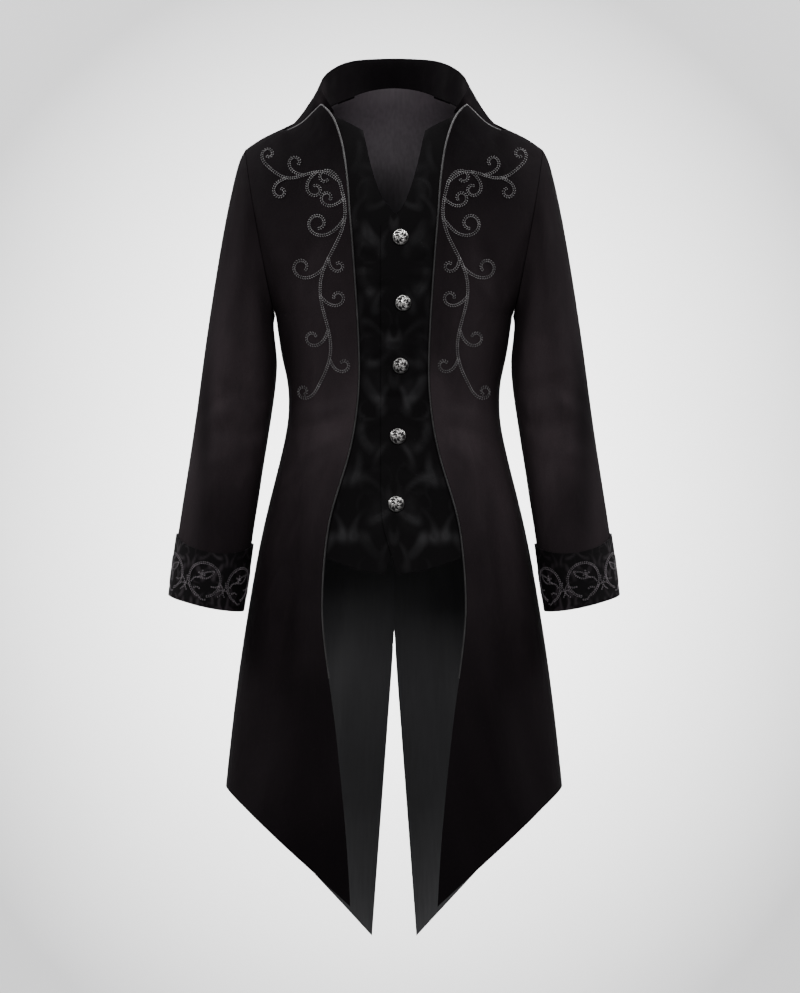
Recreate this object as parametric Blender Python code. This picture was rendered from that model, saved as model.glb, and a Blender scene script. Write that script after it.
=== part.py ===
"""Gothic tailcoat with a false waistcoat front, hollow and standing open as when it is worn.

Metres, +Z up. The front faces -Y, and +X is the wearer's left. The origin is the middle of the
neck opening, level with the side neck points, where the wearer's shoulders hold the coat.
Each cut piece is a thin closed wall on a body form of oval sections. Left-hand pieces are worked
out first, and right-hand ones are their mirror image.
"""

import math
from collections import namedtuple

import bmesh
import bpy
from mathutils import Vector
from mathutils.bvhtree import BVHTree

# Cloth and seams
CLOTH = 0.002
LINING_CLOTH = 0.001
VEST_CLOTH = 0.0015
CUFF_CLOTH = 0.002
SEAM_GAP = 0.0003
SOFT_EDGE_ANGLE = math.radians(50)

# Body form: height, half width of the oval section, depth in front and behind
OVALNESS = 2.2
Section = namedtuple("Section", "z side front back")
BODY = (
    Section(-1.180, 0.256, 0.160, 0.170),
    Section(-0.943, 0.2355, 0.146, 0.154),
    Section(-0.795, 0.2188, 0.136, 0.143),
    Section(-0.683, 0.2018, 0.128, 0.133),
    Section(-0.599, 0.1868, 0.121, 0.124),
    Section(-0.543, 0.1738, 0.115, 0.116),
    Section(-0.487, 0.1597, 0.109, 0.106),
    Section(-0.431, 0.148, 0.103, 0.099),
    Section(-0.403, 0.147, 0.102, 0.098),
    Section(-0.375, 0.149, 0.103, 0.100),
    Section(-0.347, 0.1565, 0.105, 0.103),
    Section(-0.325, 0.1635, 0.108, 0.107),
    Section(-0.287, 0.174, 0.112, 0.112),
    Section(-0.239, 0.1965, 0.115, 0.118),
    Section(-0.206, 0.215, 0.115, 0.120),
    Section(-0.170, 0.232, 0.1125, 0.119),
    Section(-0.133, 0.240, 0.1065, 0.117),
    Section(-0.100, 0.2385, 0.096, 0.110),
    Section(-0.075, 0.226, 0.085, 0.102),
    Section(-0.052, 0.207, 0.072, 0.094),
    Section(-0.047, 0.203, 0.069, 0.092),
    Section(-0.040, 0.1915, 0.062, 0.088),
    Section(-0.031, 0.1735, 0.055, 0.083),
    Section(-0.022, 0.153, 0.049, 0.078),
    Section(0.000, 0.111, 0.038, 0.068),
    Section(0.008, 0.096, 0.036, 0.064),
    Section(0.020, 0.084, 0.032, 0.060),
    Section(0.032, 0.074, 0.030, 0.058),
)

# Armhole: a slanting oval loop from the shoulder tip to the underarm
ARM_TOP = Vector((0.207, 0.0, -0.052))
ARM_LOW = Vector((0.165, 0.0, -0.287))
ARM_DEPTH = 0.072
ARM_BULGE = 0.003
SIDE_TUCK = 0.009
TUCK_END = -0.347
ARMHOLE_STEPS = (0, 9, 18, 27, 36, 45, 63, 81, 99, 117, 135, 150, 165, 180)
YOKE_STEPS = 5

# Body panels: columns across, level rows below the armhole, and the share of the way to the hem
PANEL_COLUMNS = 8
LEVEL_ROWS = (-0.318, -0.347, -0.375, -0.403, -0.435, -0.470, -0.505, -0.543, -0.580, -0.620)
HEM_SHARES = (0.11, 0.223, 0.35, 0.48, 0.61, 0.74, 0.87, 1.0)
SIDE_CORNER = Vector((0.2355, 0.0, -0.943))
FRONT_TIP = Vector((0.060, 0.0, -1.100))
TAIL_TIP = Vector((0.032, 0.0, -1.167))
VENT_TOP = -0.741
SKIRT_FLARE = 0.05
FLARE_START = -0.600
FLARE_WAVES = 4
SLOPE_STEP = 0.0005
HEM_TRIALS = 12
HEM_TRIAL_SHARE = 0.6

# Front edge of a front: height and distance from the centre
EdgePoint = namedtuple("EdgePoint", "z x")
FRONT_EDGE = (
    EdgePoint(-1.100, 0.060),
    EdgePoint(-1.021, 0.0645),
    EdgePoint(-0.907, 0.0755),
    EdgePoint(-0.833, 0.084),
    EdgePoint(-0.756, 0.095),
    EdgePoint(-0.690, 0.0985),
    EdgePoint(-0.598, 0.092),
    EdgePoint(-0.545, 0.081),
    EdgePoint(-0.477, 0.060),
    EdgePoint(-0.414, 0.050),
    EdgePoint(-0.377, 0.0475),
    EdgePoint(-0.339, 0.048),
    EdgePoint(-0.227, 0.0535),
    EdgePoint(-0.137, 0.060),
    EdgePoint(-0.074, 0.068),
    EdgePoint(-0.028, 0.079),
    EdgePoint(-0.009, 0.0865),
    EdgePoint(0.000, 0.094),
    EdgePoint(0.0077, 0.102),
)

# Top edge of a front, from its peak over the collar to the shoulder tip, a row for each column
TopPoint = namedtuple("TopPoint", "x y z")
FRONT_TOP = (
    TopPoint(0.102, -0.0310, 0.0077),
    TopPoint(0.112, -0.0285, -0.0015),
    TopPoint(0.122, -0.0270, -0.0125),
    TopPoint(0.134, -0.0250, -0.0215),
    TopPoint(0.149, -0.0190, -0.0270),
    TopPoint(0.1575, -0.0015, -0.0240),
    TopPoint(0.171, -0.00015, -0.0298),
    TopPoint(0.188, -0.00015, -0.0382),
    TopPoint(0.207, -0.00015, -0.0520),
)

# Back neckline
NECK_BACK_Z = 0.032
NECK_SIDE = Vector((0.096, 0.0, 0.008))
NECK_ROUNDNESS = 3
BACK_TOP_X = (0.0, 0.030, 0.058, 0.082, 0.096, 0.122, 0.150, 0.178, 0.207)
NECK_COLUMNS = 4

# Sleeve rings: outer and inner point seen from the front, half depth, forward bend, cap bulge,
# and how much lower the front is than the middle
Ring = namedtuple("Ring", "outer_x outer_z inner_x inner_z depth forward bulge tilt")
SLEEVE = (
    Ring(0.2078, -0.0522, 0.1658, -0.2872, 0.0720, 0.000, 0.003, 0.000),
    Ring(0.2160, -0.0660, 0.1675, -0.2940, 0.0730, 0.000, 0.004, 0.000),
    Ring(0.2225, -0.0920, 0.1674, -0.3030, 0.0740, 0.000, 0.005, 0.000),
    Ring(0.2300, -0.1250, 0.1664, -0.3140, 0.0735, 0.000, 0.005, 0.000),
    Ring(0.2375, -0.1620, 0.1645, -0.3300, 0.0720, 0.000, 0.004, 0.000),
    Ring(0.2460, -0.2100, 0.1622, -0.3520, 0.0700, 0.000, 0.003, 0.000),
    Ring(0.2560, -0.2720, 0.1643, -0.3820, 0.0680, 0.000, 0.002, 0.000),
    Ring(0.2660, -0.3400, 0.1696, -0.4200, 0.0660, 0.002, 0.001, 0.000),
    Ring(0.2740, -0.4050, 0.1762, -0.4620, 0.0640, 0.006, 0.000, 0.000),
    Ring(0.2830, -0.4700, 0.1835, -0.5080, 0.0620, 0.014, 0.000, 0.000),
    Ring(0.2930, -0.5350, 0.1902, -0.5560, 0.0600, 0.025, 0.000, 0.001),
    Ring(0.3010, -0.5900, 0.1970, -0.6040, 0.0570, 0.036, 0.000, 0.003),
    Ring(0.3070, -0.6350, 0.2035, -0.6530, 0.0540, 0.045, 0.000, 0.005),
    Ring(0.3115, -0.6740, 0.2100, -0.6960, 0.0520, 0.052, 0.000, 0.006),
)
CUFF_TOP_RING = 11.0
CUFF_DIP = 0.32
CUFF_DIP_POWER = 1.3
CUFF_ROWS = 4
CUFF_CLEARANCE = 0.0006
RING_STEP = 0.05

# Collar: neck seam, roll and fall edge of each section, from the centre back to the front end
Fold = namedtuple("Fold", "neck roll edge sag")
COLLAR = (
    Fold((0.000, 0.0575, 0.0332), (0.000, 0.0690, 0.0805), (0.000, 0.0800, 0.010), -0.002),
    Fold((0.050, 0.0460, 0.0296), (0.055, 0.0590, 0.0772), (0.062, 0.0790, 0.002), -0.001),
    Fold((0.079, 0.0250, 0.0195), (0.087, 0.0340, 0.0625), (0.112, 0.0620, -0.016), 0.003),
    Fold((0.092, 0.0110, 0.0115), (0.101, 0.0120, 0.0465), (0.142, 0.0350, -0.018), 0.006),
    Fold((0.0965, -0.0030, 0.0095), (0.103, -0.0040, 0.0350), (0.155, 0.0030, -0.0200), 0.006),
    Fold((0.0945, -0.0100, 0.0050), (0.0985, -0.0130, 0.0230), (0.147, -0.0120, -0.0250), 0.003),
    Fold((0.0890, -0.0150, 0.0000), (0.0915, -0.0175, 0.0115), (0.127, -0.0190, -0.0180), 0.000),
    Fold((0.0840, -0.0165, -0.0030), (0.0860, -0.0190, 0.0025), (0.108, -0.0200, -0.0035), 0.000),
)
COLLAR_SECTIONS = 14
ROLL_WIDTH = 0.0035
ROLL_DROP = 0.007
FULL_STAND = 0.030
FALL_SHARES = (0.35, 0.70)

# Waistcoat fronts, in each front's own sense: + is its own side of the centre
VEST_LEFT_EDGE = (
    EdgePoint(-0.644, 0.006),
    EdgePoint(-0.621, -0.003),
    EdgePoint(-0.598, -0.0095),
    EdgePoint(-0.576, -0.016),
    EdgePoint(-0.550, -0.0178),
    EdgePoint(-0.164, -0.0178),
    EdgePoint(-0.149, 0.004),
    EdgePoint(-0.137, 0.013),
    EdgePoint(-0.107, 0.0245),
    EdgePoint(-0.067, 0.035),
    EdgePoint(-0.027, 0.0435),
    EdgePoint(-0.014, 0.066),
    EdgePoint(-0.004, 0.087),
)
VEST_RIGHT_EDGE = (
    EdgePoint(-0.644, 0.013),
    EdgePoint(-0.621, 0.006),
    EdgePoint(-0.598, -0.006),
    EdgePoint(-0.576, -0.016),
    EdgePoint(-0.550, -0.020),
    EdgePoint(-0.164, -0.020),
    EdgePoint(-0.149, -0.004),
    EdgePoint(-0.137, 0.009),
    EdgePoint(-0.107, 0.0235),
    EdgePoint(-0.067, 0.035),
    EdgePoint(-0.027, 0.0435),
    EdgePoint(-0.014, 0.066),
    EdgePoint(-0.004, 0.087),
)
VEST_OUTER = (
    EdgePoint(-0.644, 0.125),
    EdgePoint(-0.150, 0.125),
    EdgePoint(-0.060, 0.116),
    EdgePoint(-0.004, 0.094),
)
VEST_ROWS = (
    -0.004, -0.014, -0.027, -0.046, -0.067, -0.088, -0.107, -0.124, -0.137, -0.149, -0.164,
    -0.206, -0.245, -0.287, -0.318, -0.347, -0.375, -0.403, -0.435, -0.470, -0.505, -0.543,
    -0.576, -0.598,
)
VEST_COLUMNS = 7
VEST_HEM_SIDE = -0.622
VEST_HEM_DROP = 0.022
VEST_HEM_REACH = 0.091
VEST_HEM_CURVE = 1.75
VEST_DEPTH = 0.0034
OVERLAP_DEPTH = 0.0004
OVERLAP_INNER = 0.024
OVERLAP_OUTER = 0.043

# Piping: a round cord on the edges of each front, down to this height
PIPING_RADIUS = 0.0013
PIPING_END = -0.802
PIPING_SIDES = 6
PIPING_TOP_COLUMN = 4

# Domed buttons on the waistcoat's overlap: distance from the centre and height
ButtonPlace = namedtuple("ButtonPlace", "x z")
BUTTONS = (
    ButtonPlace(0.0090, -0.1808),
    ButtonPlace(0.0125, -0.2711),
    ButtonPlace(0.0090, -0.3574),
    ButtonPlace(0.0055, -0.4552),
    ButtonPlace(0.0030, -0.5486),
)
DomeStep = namedtuple("DomeStep", "radius height")
BUTTON_PROFILE = (
    DomeStep(0.0040, 0.0000),
    DomeStep(0.0042, 0.0012),
    DomeStep(0.0112, 0.0018),
    DomeStep(0.0125, 0.0032),
    DomeStep(0.0110, 0.0054),
    DomeStep(0.0065, 0.0072),
)
BUTTON_SIDES = 16
BUTTON_CLEARANCE = 0.0004

# Colour, roughness and metallic value of each material
Finish = namedtuple("Finish", "colour roughness metallic")
VELVET = Finish((0.010, 0.008, 0.009), 0.85, 0.0)
BROCADE = Finish((0.012, 0.011, 0.012), 0.55, 0.0)
SATIN = Finish((0.022, 0.021, 0.023), 0.40, 0.0)
CORD_SATIN = Finish((0.10, 0.10, 0.10), 0.45, 0.0)
SILVER = Finish((0.62, 0.62, 0.60), 0.30, 1.0)


class Curve:
    """A smooth curve through rising keys that never overshoots its values."""

    def __init__(self, keys, values):
        self.keys = list(keys)
        self.values = list(values)
        pairs = list(zip(self.keys, self.values))
        rises = [(v1 - v0) / (k1 - k0) for (k0, v0), (k1, v1) in zip(pairs, pairs[1:])]
        inner = [0.0 if a * b <= 0.0 else 2.0 * a * b / (a + b) for a, b in zip(rises, rises[1:])]
        self.slopes = [rises[0]] + inner + [rises[-1]]

    def __call__(self, key):
        key = min(max(key, self.keys[0]), self.keys[-1])
        index = 0
        while index < len(self.keys) - 2 and key > self.keys[index + 1]:
            index += 1
        span = self.keys[index + 1] - self.keys[index]
        t = (key - self.keys[index]) / span
        start = self.values[index] * (1 + 2 * t) + self.slopes[index] * span * t
        end = self.values[index + 1] * (3 - 2 * t) - self.slopes[index + 1] * span * (1 - t)
        return start * (1 - t) ** 2 + end * t ** 2


def column_curves(keys, rows):
    """One curve for each column of a table."""
    return [Curve(keys, column) for column in zip(*rows)]


def mix(start, end, share):
    return start + (end - start) * share


def smooth_step(start, end, value):
    share = min(max((value - start) / (end - start), 0.0), 1.0)
    return share * share * (3.0 - 2.0 * share)


# Body form

side_at = Curve([s.z for s in BODY], [s.side for s in BODY])
DEPTH_AT = {
    "front": Curve([s.z for s in BODY], [s.front for s in BODY]),
    "back": Curve([s.z for s in BODY], [s.back for s in BODY]),
}
FACING = {"front": -1.0, "back": 1.0}
shoulder_rows = [s for s in BODY if s.z >= ARM_TOP.z and s.z <= NECK_SIDE.z]
ridge_at = Curve([s.side for s in reversed(shoulder_rows)], [s.z for s in reversed(shoulder_rows)])
front_edge_at = Curve([p.z for p in FRONT_EDGE], [p.x for p in FRONT_EDGE])


def armhole_point(angle):
    """Point of the armhole seam: x, depth from the side seam plane, z. Angle 0 is its top."""
    middle = (ARM_TOP + ARM_LOW) / 2
    reach = (ARM_TOP - ARM_LOW) / 2
    x = middle.x + reach.x * math.cos(angle) + ARM_BULGE * math.sin(angle)
    z = middle.z + reach.z * math.cos(angle)
    return x, ARM_DEPTH * math.sin(angle), z


def outer_seam_at(z):
    """Distance out and depth of the armhole seam, or of the side seam, tucked in under the arm."""
    if z >= ARM_TOP.z:
        return side_at(z), 0.0
    if z <= ARM_LOW.z:
        return side_at(z) - SIDE_TUCK * smooth_step(TUCK_END, ARM_LOW.z, z), 0.0
    middle = (ARM_TOP.z + ARM_LOW.z) / 2
    angle = math.acos((z - middle) / (ARM_TOP.z - middle))
    x, depth, _ = armhole_point(angle)
    return x, depth


def flare_at(z, angle):
    """Soft waves of the skirt, none at the side seam and none at the centre."""
    growth = smooth_step(FLARE_START, SIDE_CORNER.z, z)
    return 1.0 + SKIRT_FLARE * growth * math.sin(FLARE_WAVES * angle)


def form_point(x, z, half):
    """Point on the body form at a distance from the centre and a height."""
    share = min(abs(x) / side_at(z), 1.0)
    angle = math.acos(share ** (OVALNESS / 2))
    depth = DEPTH_AT[half](z) * math.sin(angle) ** (2 / OVALNESS) * flare_at(z, angle)
    return Vector((x, FACING[half] * depth, z))


def form_normal(point, half):
    """Outward direction of the oval sections at a point."""
    step = SLOPE_STEP
    width = side_at(point.z)
    depth = DEPTH_AT[half](point.z)
    widening = (side_at(point.z + step) - side_at(point.z - step)) / (2 * step)
    deepening = (DEPTH_AT[half](point.z + step) - DEPTH_AT[half](point.z - step)) / (2 * step)
    across = (abs(point.x) / width) ** (OVALNESS - 1)
    along = (abs(point.y) / depth) ** (OVALNESS - 1)
    rise = across * abs(point.x) / width * widening / width
    rise += along * abs(point.y) / depth * deepening / depth
    normal = Vector((math.copysign(across / width, point.x), FACING[half] * along / depth, -rise))
    return normal.normalized()


def level_point(z, share, inner_x, half):
    """Point at a height, a share of the way round from the inner edge to the outer seam."""
    width = side_at(z)
    seam_x, seam_depth = outer_seam_at(z)
    start = math.acos(min(inner_x / width, 1.0) ** (OVALNESS / 2))
    end = math.asin(min(seam_depth / DEPTH_AT[half](z), 1.0) ** (OVALNESS / 2))
    point = form_point(width * math.cos(mix(start, end, share)) ** (2 / OVALNESS), z, half)
    point.x += (seam_x - width * math.cos(end) ** (2 / OVALNESS)) * share ** 3
    return point


def hem_height(share, inner_x_at, tip, half):
    """Height of the slanting hem where a column meets it."""
    slope = (SIDE_CORNER.z - tip.z) / (SIDE_CORNER.x - tip.x)
    z = mix(tip.z, SIDE_CORNER.z, share)
    for _ in range(HEM_TRIALS):
        x = level_point(z, share, inner_x_at(z), half).x
        z = mix(z, SIDE_CORNER.z - (SIDE_CORNER.x - x) * slope, HEM_TRIAL_SHARE)
    return z


def panel_grid(top_edge, inner_x_at, tip, half):
    """Outer points of a body panel: rows down from its top edge, columns out from its inner edge."""
    angles = [math.radians(step) for step in ARMHOLE_STEPS]
    yoke_z = armhole_point(angles[YOKE_STEPS])[2]
    shares = [column / PANEL_COLUMNS for column in range(PANEL_COLUMNS + 1)]
    top_span = top_edge[-1].x - top_edge[0].x
    grid = []
    for angle in angles[:YOKE_STEPS]:
        down = (armhole_point(angle)[2] - ARM_TOP.z) / (yoke_z - ARM_TOP.z)
        row = []
        for share, top in zip(shares, top_edge):
            z = mix(top.z, yoke_z, down)
            inner = inner_x_at(mix(top_edge[0].z, yoke_z, down))
            outer, outer_depth = outer_seam_at(mix(ARM_TOP.z, yoke_z, down))
            level = level_point(yoke_z, share, inner_x_at(yoke_z), half).x
            level_share = (level - inner_x_at(yoke_z)) / (outer_seam_at(yoke_z)[0] - inner_x_at(yoke_z))
            across = mix((top.x - top_edge[0].x) / top_span, level_share, down)
            point = form_point(mix(inner, outer, across), z, half)
            top_offset = top.y - form_point(top.x, top.z, half).y
            point.y += top_offset * (1.0 - down) ** 2
            if share == 1.0:
                point.y = FACING[half] * outer_depth
            row.append(point)
        grid.append(row)
    for z in [armhole_point(angle)[2] for angle in angles[YOKE_STEPS:]] + list(LEVEL_ROWS):
        grid.append([level_point(z, share, inner_x_at(z), half) for share in shares])
    hem = [hem_height(share, inner_x_at, tip, half) for share in shares]
    for down in HEM_SHARES:
        heights = [mix(LEVEL_ROWS[-1], low, down) for low in hem]
        grid.append([level_point(z, s, inner_x_at(z), half) for z, s in zip(heights, shares)])
    for row in grid:
        for point in row:
            point.y = FACING[half] * max(abs(point.y), SEAM_GAP / 2)
    return grid


def vent_edge_at(z):
    """Inner edge of a back: the centre seam, and below it the edge of the vent."""
    share = max((VENT_TOP - z) / (VENT_TOP - TAIL_TIP.z), 0.0)
    return mix(SEAM_GAP / 2, TAIL_TIP.x, share)


def back_top_edge():
    """Neckline and shoulder ridge of a back."""
    edge = []
    for index, x in enumerate(BACK_TOP_X):
        x = max(x, SEAM_GAP / 2)
        if index < NECK_COLUMNS:
            z = NECK_BACK_Z - (NECK_BACK_Z - NECK_SIDE.z) * (x / NECK_SIDE.x) ** NECK_ROUNDNESS
            edge.append(form_point(x, z, "back"))
        else:
            edge.append(Vector((x, SEAM_GAP / 2, ridge_at(x))))
    return edge


def moved(grid, half, distance):
    """The grid's points moved out along the body form's own directions."""
    return [[point + form_normal(point, half) * distance for point in row] for row in grid]


# Walls

def mirrored(grid):
    return [[Vector((-point.x, point.y, point.z)) for point in row] for row in grid]


def add_object(name, vertices, faces, finish):
    """A closed mesh object with its faces outward, smooth but for its edges."""
    mesh = bpy.data.meshes.new(name)
    mesh.from_pydata([tuple(vertex) for vertex in vertices], [], faces)
    work = bmesh.new()
    work.from_mesh(mesh)
    bmesh.ops.recalc_face_normals(work, faces=work.faces)
    work.to_mesh(mesh)
    work.free()
    mesh.shade_smooth()
    mesh.set_sharp_from_angle(angle=SOFT_EDGE_ANGLE)
    thing = bpy.data.objects.new(name, mesh)
    bpy.context.collection.objects.link(thing)
    material = bpy.data.materials.new(name)
    material.use_nodes = True
    shader = material.node_tree.nodes["Principled BSDF"]
    shader.inputs["Base Color"].default_value = (*finish.colour, 1.0)
    shader.inputs["Roughness"].default_value = finish.roughness
    shader.inputs["Metallic"].default_value = finish.metallic
    mesh.materials.append(material)
    return thing


def wall(name, outer, inner, finish, closed=False):
    """A thin wall between two grids of points. A closed one joins its last column to its first."""
    rows = len(outer)
    columns = len(outer[0])
    vertices = [point for grid in (outer, inner) for row in grid for point in row]
    behind = rows * columns
    faces = []

    def add_quad(a, b, c, d):
        faces.append((a, b, c))
        faces.append((a, c, d))

    for row in range(rows - 1):
        for column in range(columns if closed else columns - 1):
            beside = (column + 1) % columns
            a = row * columns + column
            b = row * columns + beside
            c = (row + 1) * columns + beside
            d = (row + 1) * columns + column
            add_quad(a, b, c, d)
            faces.append((c + behind, b + behind, a + behind))
            faces.append((d + behind, c + behind, a + behind))
    for row in (0, rows - 1):
        for column in range(columns if closed else columns - 1):
            a = row * columns + column
            b = row * columns + (column + 1) % columns
            add_quad(a, a + behind, b + behind, b)
    if not closed:
        for column in (0, columns - 1):
            for row in range(rows - 1):
                a = row * columns + column
                b = (row + 1) * columns + column
                add_quad(a, b, b + behind, a + behind)
    return add_object(name, vertices, faces, finish)


def pair_of_walls(name, outer, inner, finish, closed=False):
    wall(name + "_left", outer, inner, finish, closed)
    wall(name + "_right", mirrored(outer), mirrored(inner), finish, closed)


# Body panels and lining

def add_fronts(grid):
    pair_of_walls("front", grid, moved(grid, "front", -CLOTH), VELVET)


def add_backs(grid):
    pair_of_walls("back", grid, moved(grid, "back", -CLOTH), VELVET)


def add_linings(back_grid):
    """Satin lining of the backs, which shows in the neck and behind the skirt."""
    outer = moved(back_grid, "back", -CLOTH - SEAM_GAP)
    inner = moved(back_grid, "back", -CLOTH - SEAM_GAP - LINING_CLOTH)
    pair_of_walls("lining", outer, inner, SATIN)


# Sleeves and cuffs

sleeve_columns = column_curves(range(len(SLEEVE)), SLEEVE)


def sleeve_point(ring, angle):
    """Point on the left sleeve. Angle 0 is its outer side and a quarter turn its front."""
    row = Ring(*[curve(ring) for curve in sleeve_columns])
    x = (row.outer_x + row.inner_x) / 2 + (row.outer_x - row.inner_x) / 2 * math.cos(angle)
    z = (row.outer_z + row.inner_z) / 2 + (row.outer_z - row.inner_z) / 2 * math.cos(angle)
    z -= row.tilt * math.sin(angle)
    x += row.bulge * abs(math.sin(angle))
    return Vector((x, -row.forward - row.depth * math.sin(angle), z))


def sleeve_normal(ring, angle):
    last = len(SLEEVE) - 1
    step = RING_STEP
    along = sleeve_point(min(ring + step, last), angle) - sleeve_point(max(ring - step, 0), angle)
    around = sleeve_point(ring, angle + step) - sleeve_point(ring, angle - step)
    normal = along.cross(around).normalized()
    outward = sleeve_point(ring, angle) - sleeve_point(ring, angle + math.pi)
    return normal if normal.dot(outward) > 0.0 else -normal


def around_angles():
    """The armhole's own steps down the front and back up behind, so that seams match."""
    front = [math.radians(step) for step in ARMHOLE_STEPS]
    behind = [2 * math.pi - angle for angle in reversed(front[1:-1])]
    return front + behind


def sleeve_wall(ring_at, rows, inside, outside):
    """Outer and inner grids of a tube on the sleeve's form."""
    outer = []
    inner = []
    for row in range(rows + 1):
        places = [(ring_at(row / rows, angle), angle) for angle in around_angles()]
        points = [(sleeve_point(*place), sleeve_normal(*place)) for place in places]
        outer.append([point + normal * outside for point, normal in points])
        inner.append([point + normal * inside for point, normal in points])
    return outer, inner


def add_sleeves():
    rows = len(SLEEVE) - 1
    outer, inner = sleeve_wall(lambda share, angle: share * rows, rows, -CLOTH, 0.0)
    pair_of_walls("sleeve", outer, inner, VELVET, closed=True)


def add_cuffs():
    """Turned-back cuffs outside the sleeve ends, their top edge dipping in front."""
    last = len(SLEEVE) - 1

    def ring_at(share, angle):
        top = CUFF_TOP_RING + CUFF_DIP * max(math.sin(angle), 0.0) ** CUFF_DIP_POWER
        return mix(top, last, share)

    outside = CUFF_CLEARANCE + CUFF_CLOTH
    outer, inner = sleeve_wall(ring_at, CUFF_ROWS, CUFF_CLEARANCE, outside)
    pair_of_walls("cuff", outer, inner, BROCADE, closed=True)


# Collar

def collar_section(fold):
    """Middle line of the collar's cloth: up the stand, over the roll and down the fall."""
    neck = Vector(fold[0:3])
    roll = Vector(fold[3:6])
    edge = Vector(fold[6:9])
    out = Vector((edge.x - neck.x, edge.y - neck.y, 0.0)).normalized()
    size = min((roll - neck).length / FULL_STAND, 1.0)
    inside = roll - out * ROLL_WIDTH * size - Vector((0.0, 0.0, ROLL_DROP * size))
    outside = roll + out * ROLL_WIDTH * size - Vector((0.0, 0.0, ROLL_DROP * size))
    sag = Vector((0.0, 0.0, -fold[9]))
    return [
        neck,
        neck.lerp(inside, 0.5),
        inside,
        roll,
        outside,
        *[outside.lerp(edge, share) + sag for share in FALL_SHARES],
        edge,
    ]


def grid_normals(grid):
    """Directions across a grid of points, from its neighbours."""
    rows = len(grid)
    columns = len(grid[0])
    normals = []
    for row in range(rows):
        line = []
        for column in range(columns):
            down = grid[min(row + 1, rows - 1)][column] - grid[max(row - 1, 0)][column]
            over = grid[row][min(column + 1, columns - 1)] - grid[row][max(column - 1, 0)]
            line.append(down.cross(over).normalized())
        normals.append(line)
    return normals


def add_collar():
    rows = [(*fold.neck, *fold.roll, *fold.edge, fold.sag) for fold in COLLAR]
    curves = column_curves(range(len(COLLAR)), rows)
    half = []
    for index in range(COLLAR_SECTIONS + 1):
        place = index / COLLAR_SECTIONS * (len(COLLAR) - 1)
        half.append(collar_section([curve(place) for curve in curves]))
    grid = mirrored(reversed(half[1:])) + half
    normals = grid_normals(grid)
    sides = []
    for distance in (CLOTH / 2, -CLOTH / 2):
        sides.append([[p + n * distance for p, n in zip(*pair)] for pair in zip(grid, normals)])
    wall("collar", sides[0], sides[1], VELVET)


# Waistcoat fronts

def vest_grid(edge, overlap):
    """Outer points of a waistcoat front on the body form, under the coat's front."""
    inner_at = Curve([p.z for p in edge], [p.x for p in edge])
    outer_at = Curve([p.z for p in VEST_OUTER], [p.x for p in VEST_OUTER])
    grid = []
    for row in range(len(VEST_ROWS) + 2):
        down = max(row - len(VEST_ROWS) + 1, 0) / 2
        level = VEST_ROWS[min(row, len(VEST_ROWS) - 1)]
        line = []
        for column in range(VEST_COLUMNS + 1):
            share = column / VEST_COLUMNS
            reach = min(share * outer_at(level) / VEST_HEM_REACH, 1.0)
            hem = VEST_HEM_SIDE - VEST_HEM_DROP * (1.0 - reach ** VEST_HEM_CURVE)
            z = mix(level, hem, down)
            x = mix(inner_at(mix(level, edge[0].z, down)), outer_at(z), share)
            point = form_point(x, z, "front")
            depth = VEST_DEPTH
            if overlap:
                depth = mix(OVERLAP_DEPTH, VEST_DEPTH, smooth_step(OVERLAP_INNER, OVERLAP_OUTER, x))
            line.append(point - form_normal(point, "front") * depth)
        grid.append(line)
    return grid


def thickened(grid, cloth):
    return [[point - form_normal(point, "front") * cloth for point in row] for row in grid]


def add_vest():
    left = vest_grid(VEST_LEFT_EDGE, True)
    right = mirrored(vest_grid(VEST_RIGHT_EDGE, False))
    wall("vest_right", right, thickened(right, VEST_CLOTH), BROCADE)
    return wall("vest_left", left, thickened(left, VEST_CLOTH), BROCADE)


# Piping

def add_piping(front_grid):
    """Round cord along a front's top edge, over its peak and down its front edge."""
    top = [(front_grid[0][c], front_grid[1][c]) for c in range(PIPING_TOP_COLUMN, 0, -1)]
    down = [(row[0], row[1]) for row in front_grid if row[0].z >= PIPING_END]
    edge = top + down
    centres = []
    for index, (point, inside) in enumerate(edge):
        before = edge[max(index - 1, 0)][0]
        after = edge[min(index + 1, len(edge) - 1)][0]
        tangent = (after - before).normalized()
        away = point - inside
        if index == len(top):
            away = 2 * point - front_grid[0][1] - front_grid[1][0]
        away = (away - tangent * away.dot(tangent)).normalized()
        middle = point - form_normal(point, "front") * CLOTH / 2
        centres.append(middle + away * (PIPING_RADIUS + SEAM_GAP))
    rings = []
    for index, centre in enumerate(centres):
        before = centres[max(index - 1, 0)]
        after = centres[min(index + 1, len(centres) - 1)]
        tangent = (after - before).normalized()
        side = tangent.cross(Vector((0.0, 1.0, 0.0))).normalized()
        lift = tangent.cross(side)
        turns = [2 * math.pi * step / PIPING_SIDES for step in range(PIPING_SIDES)]
        rings.append(
            [centre + (side * math.cos(t) + lift * math.sin(t)) * PIPING_RADIUS for t in turns]
        )
    add_tube("piping_left", rings, CORD_SATIN)
    add_tube("piping_right", mirrored(rings), CORD_SATIN)


def add_tube(name, rings, finish):
    """A solid through rings of points, closed by a flat face at each end."""
    sides = len(rings[0])
    vertices = [point for ring in rings for point in ring]
    faces = [tuple(range(sides)), tuple(range(len(vertices) - sides, len(vertices)))]
    for ring in range(len(rings) - 1):
        for side in range(sides):
            a = ring * sides + side
            b = ring * sides + (side + 1) % sides
            faces.append((a, b, b + sides))
            faces.append((a, b + sides, a + sides))
    add_object(name, vertices, faces, finish)


# Buttons

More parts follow.
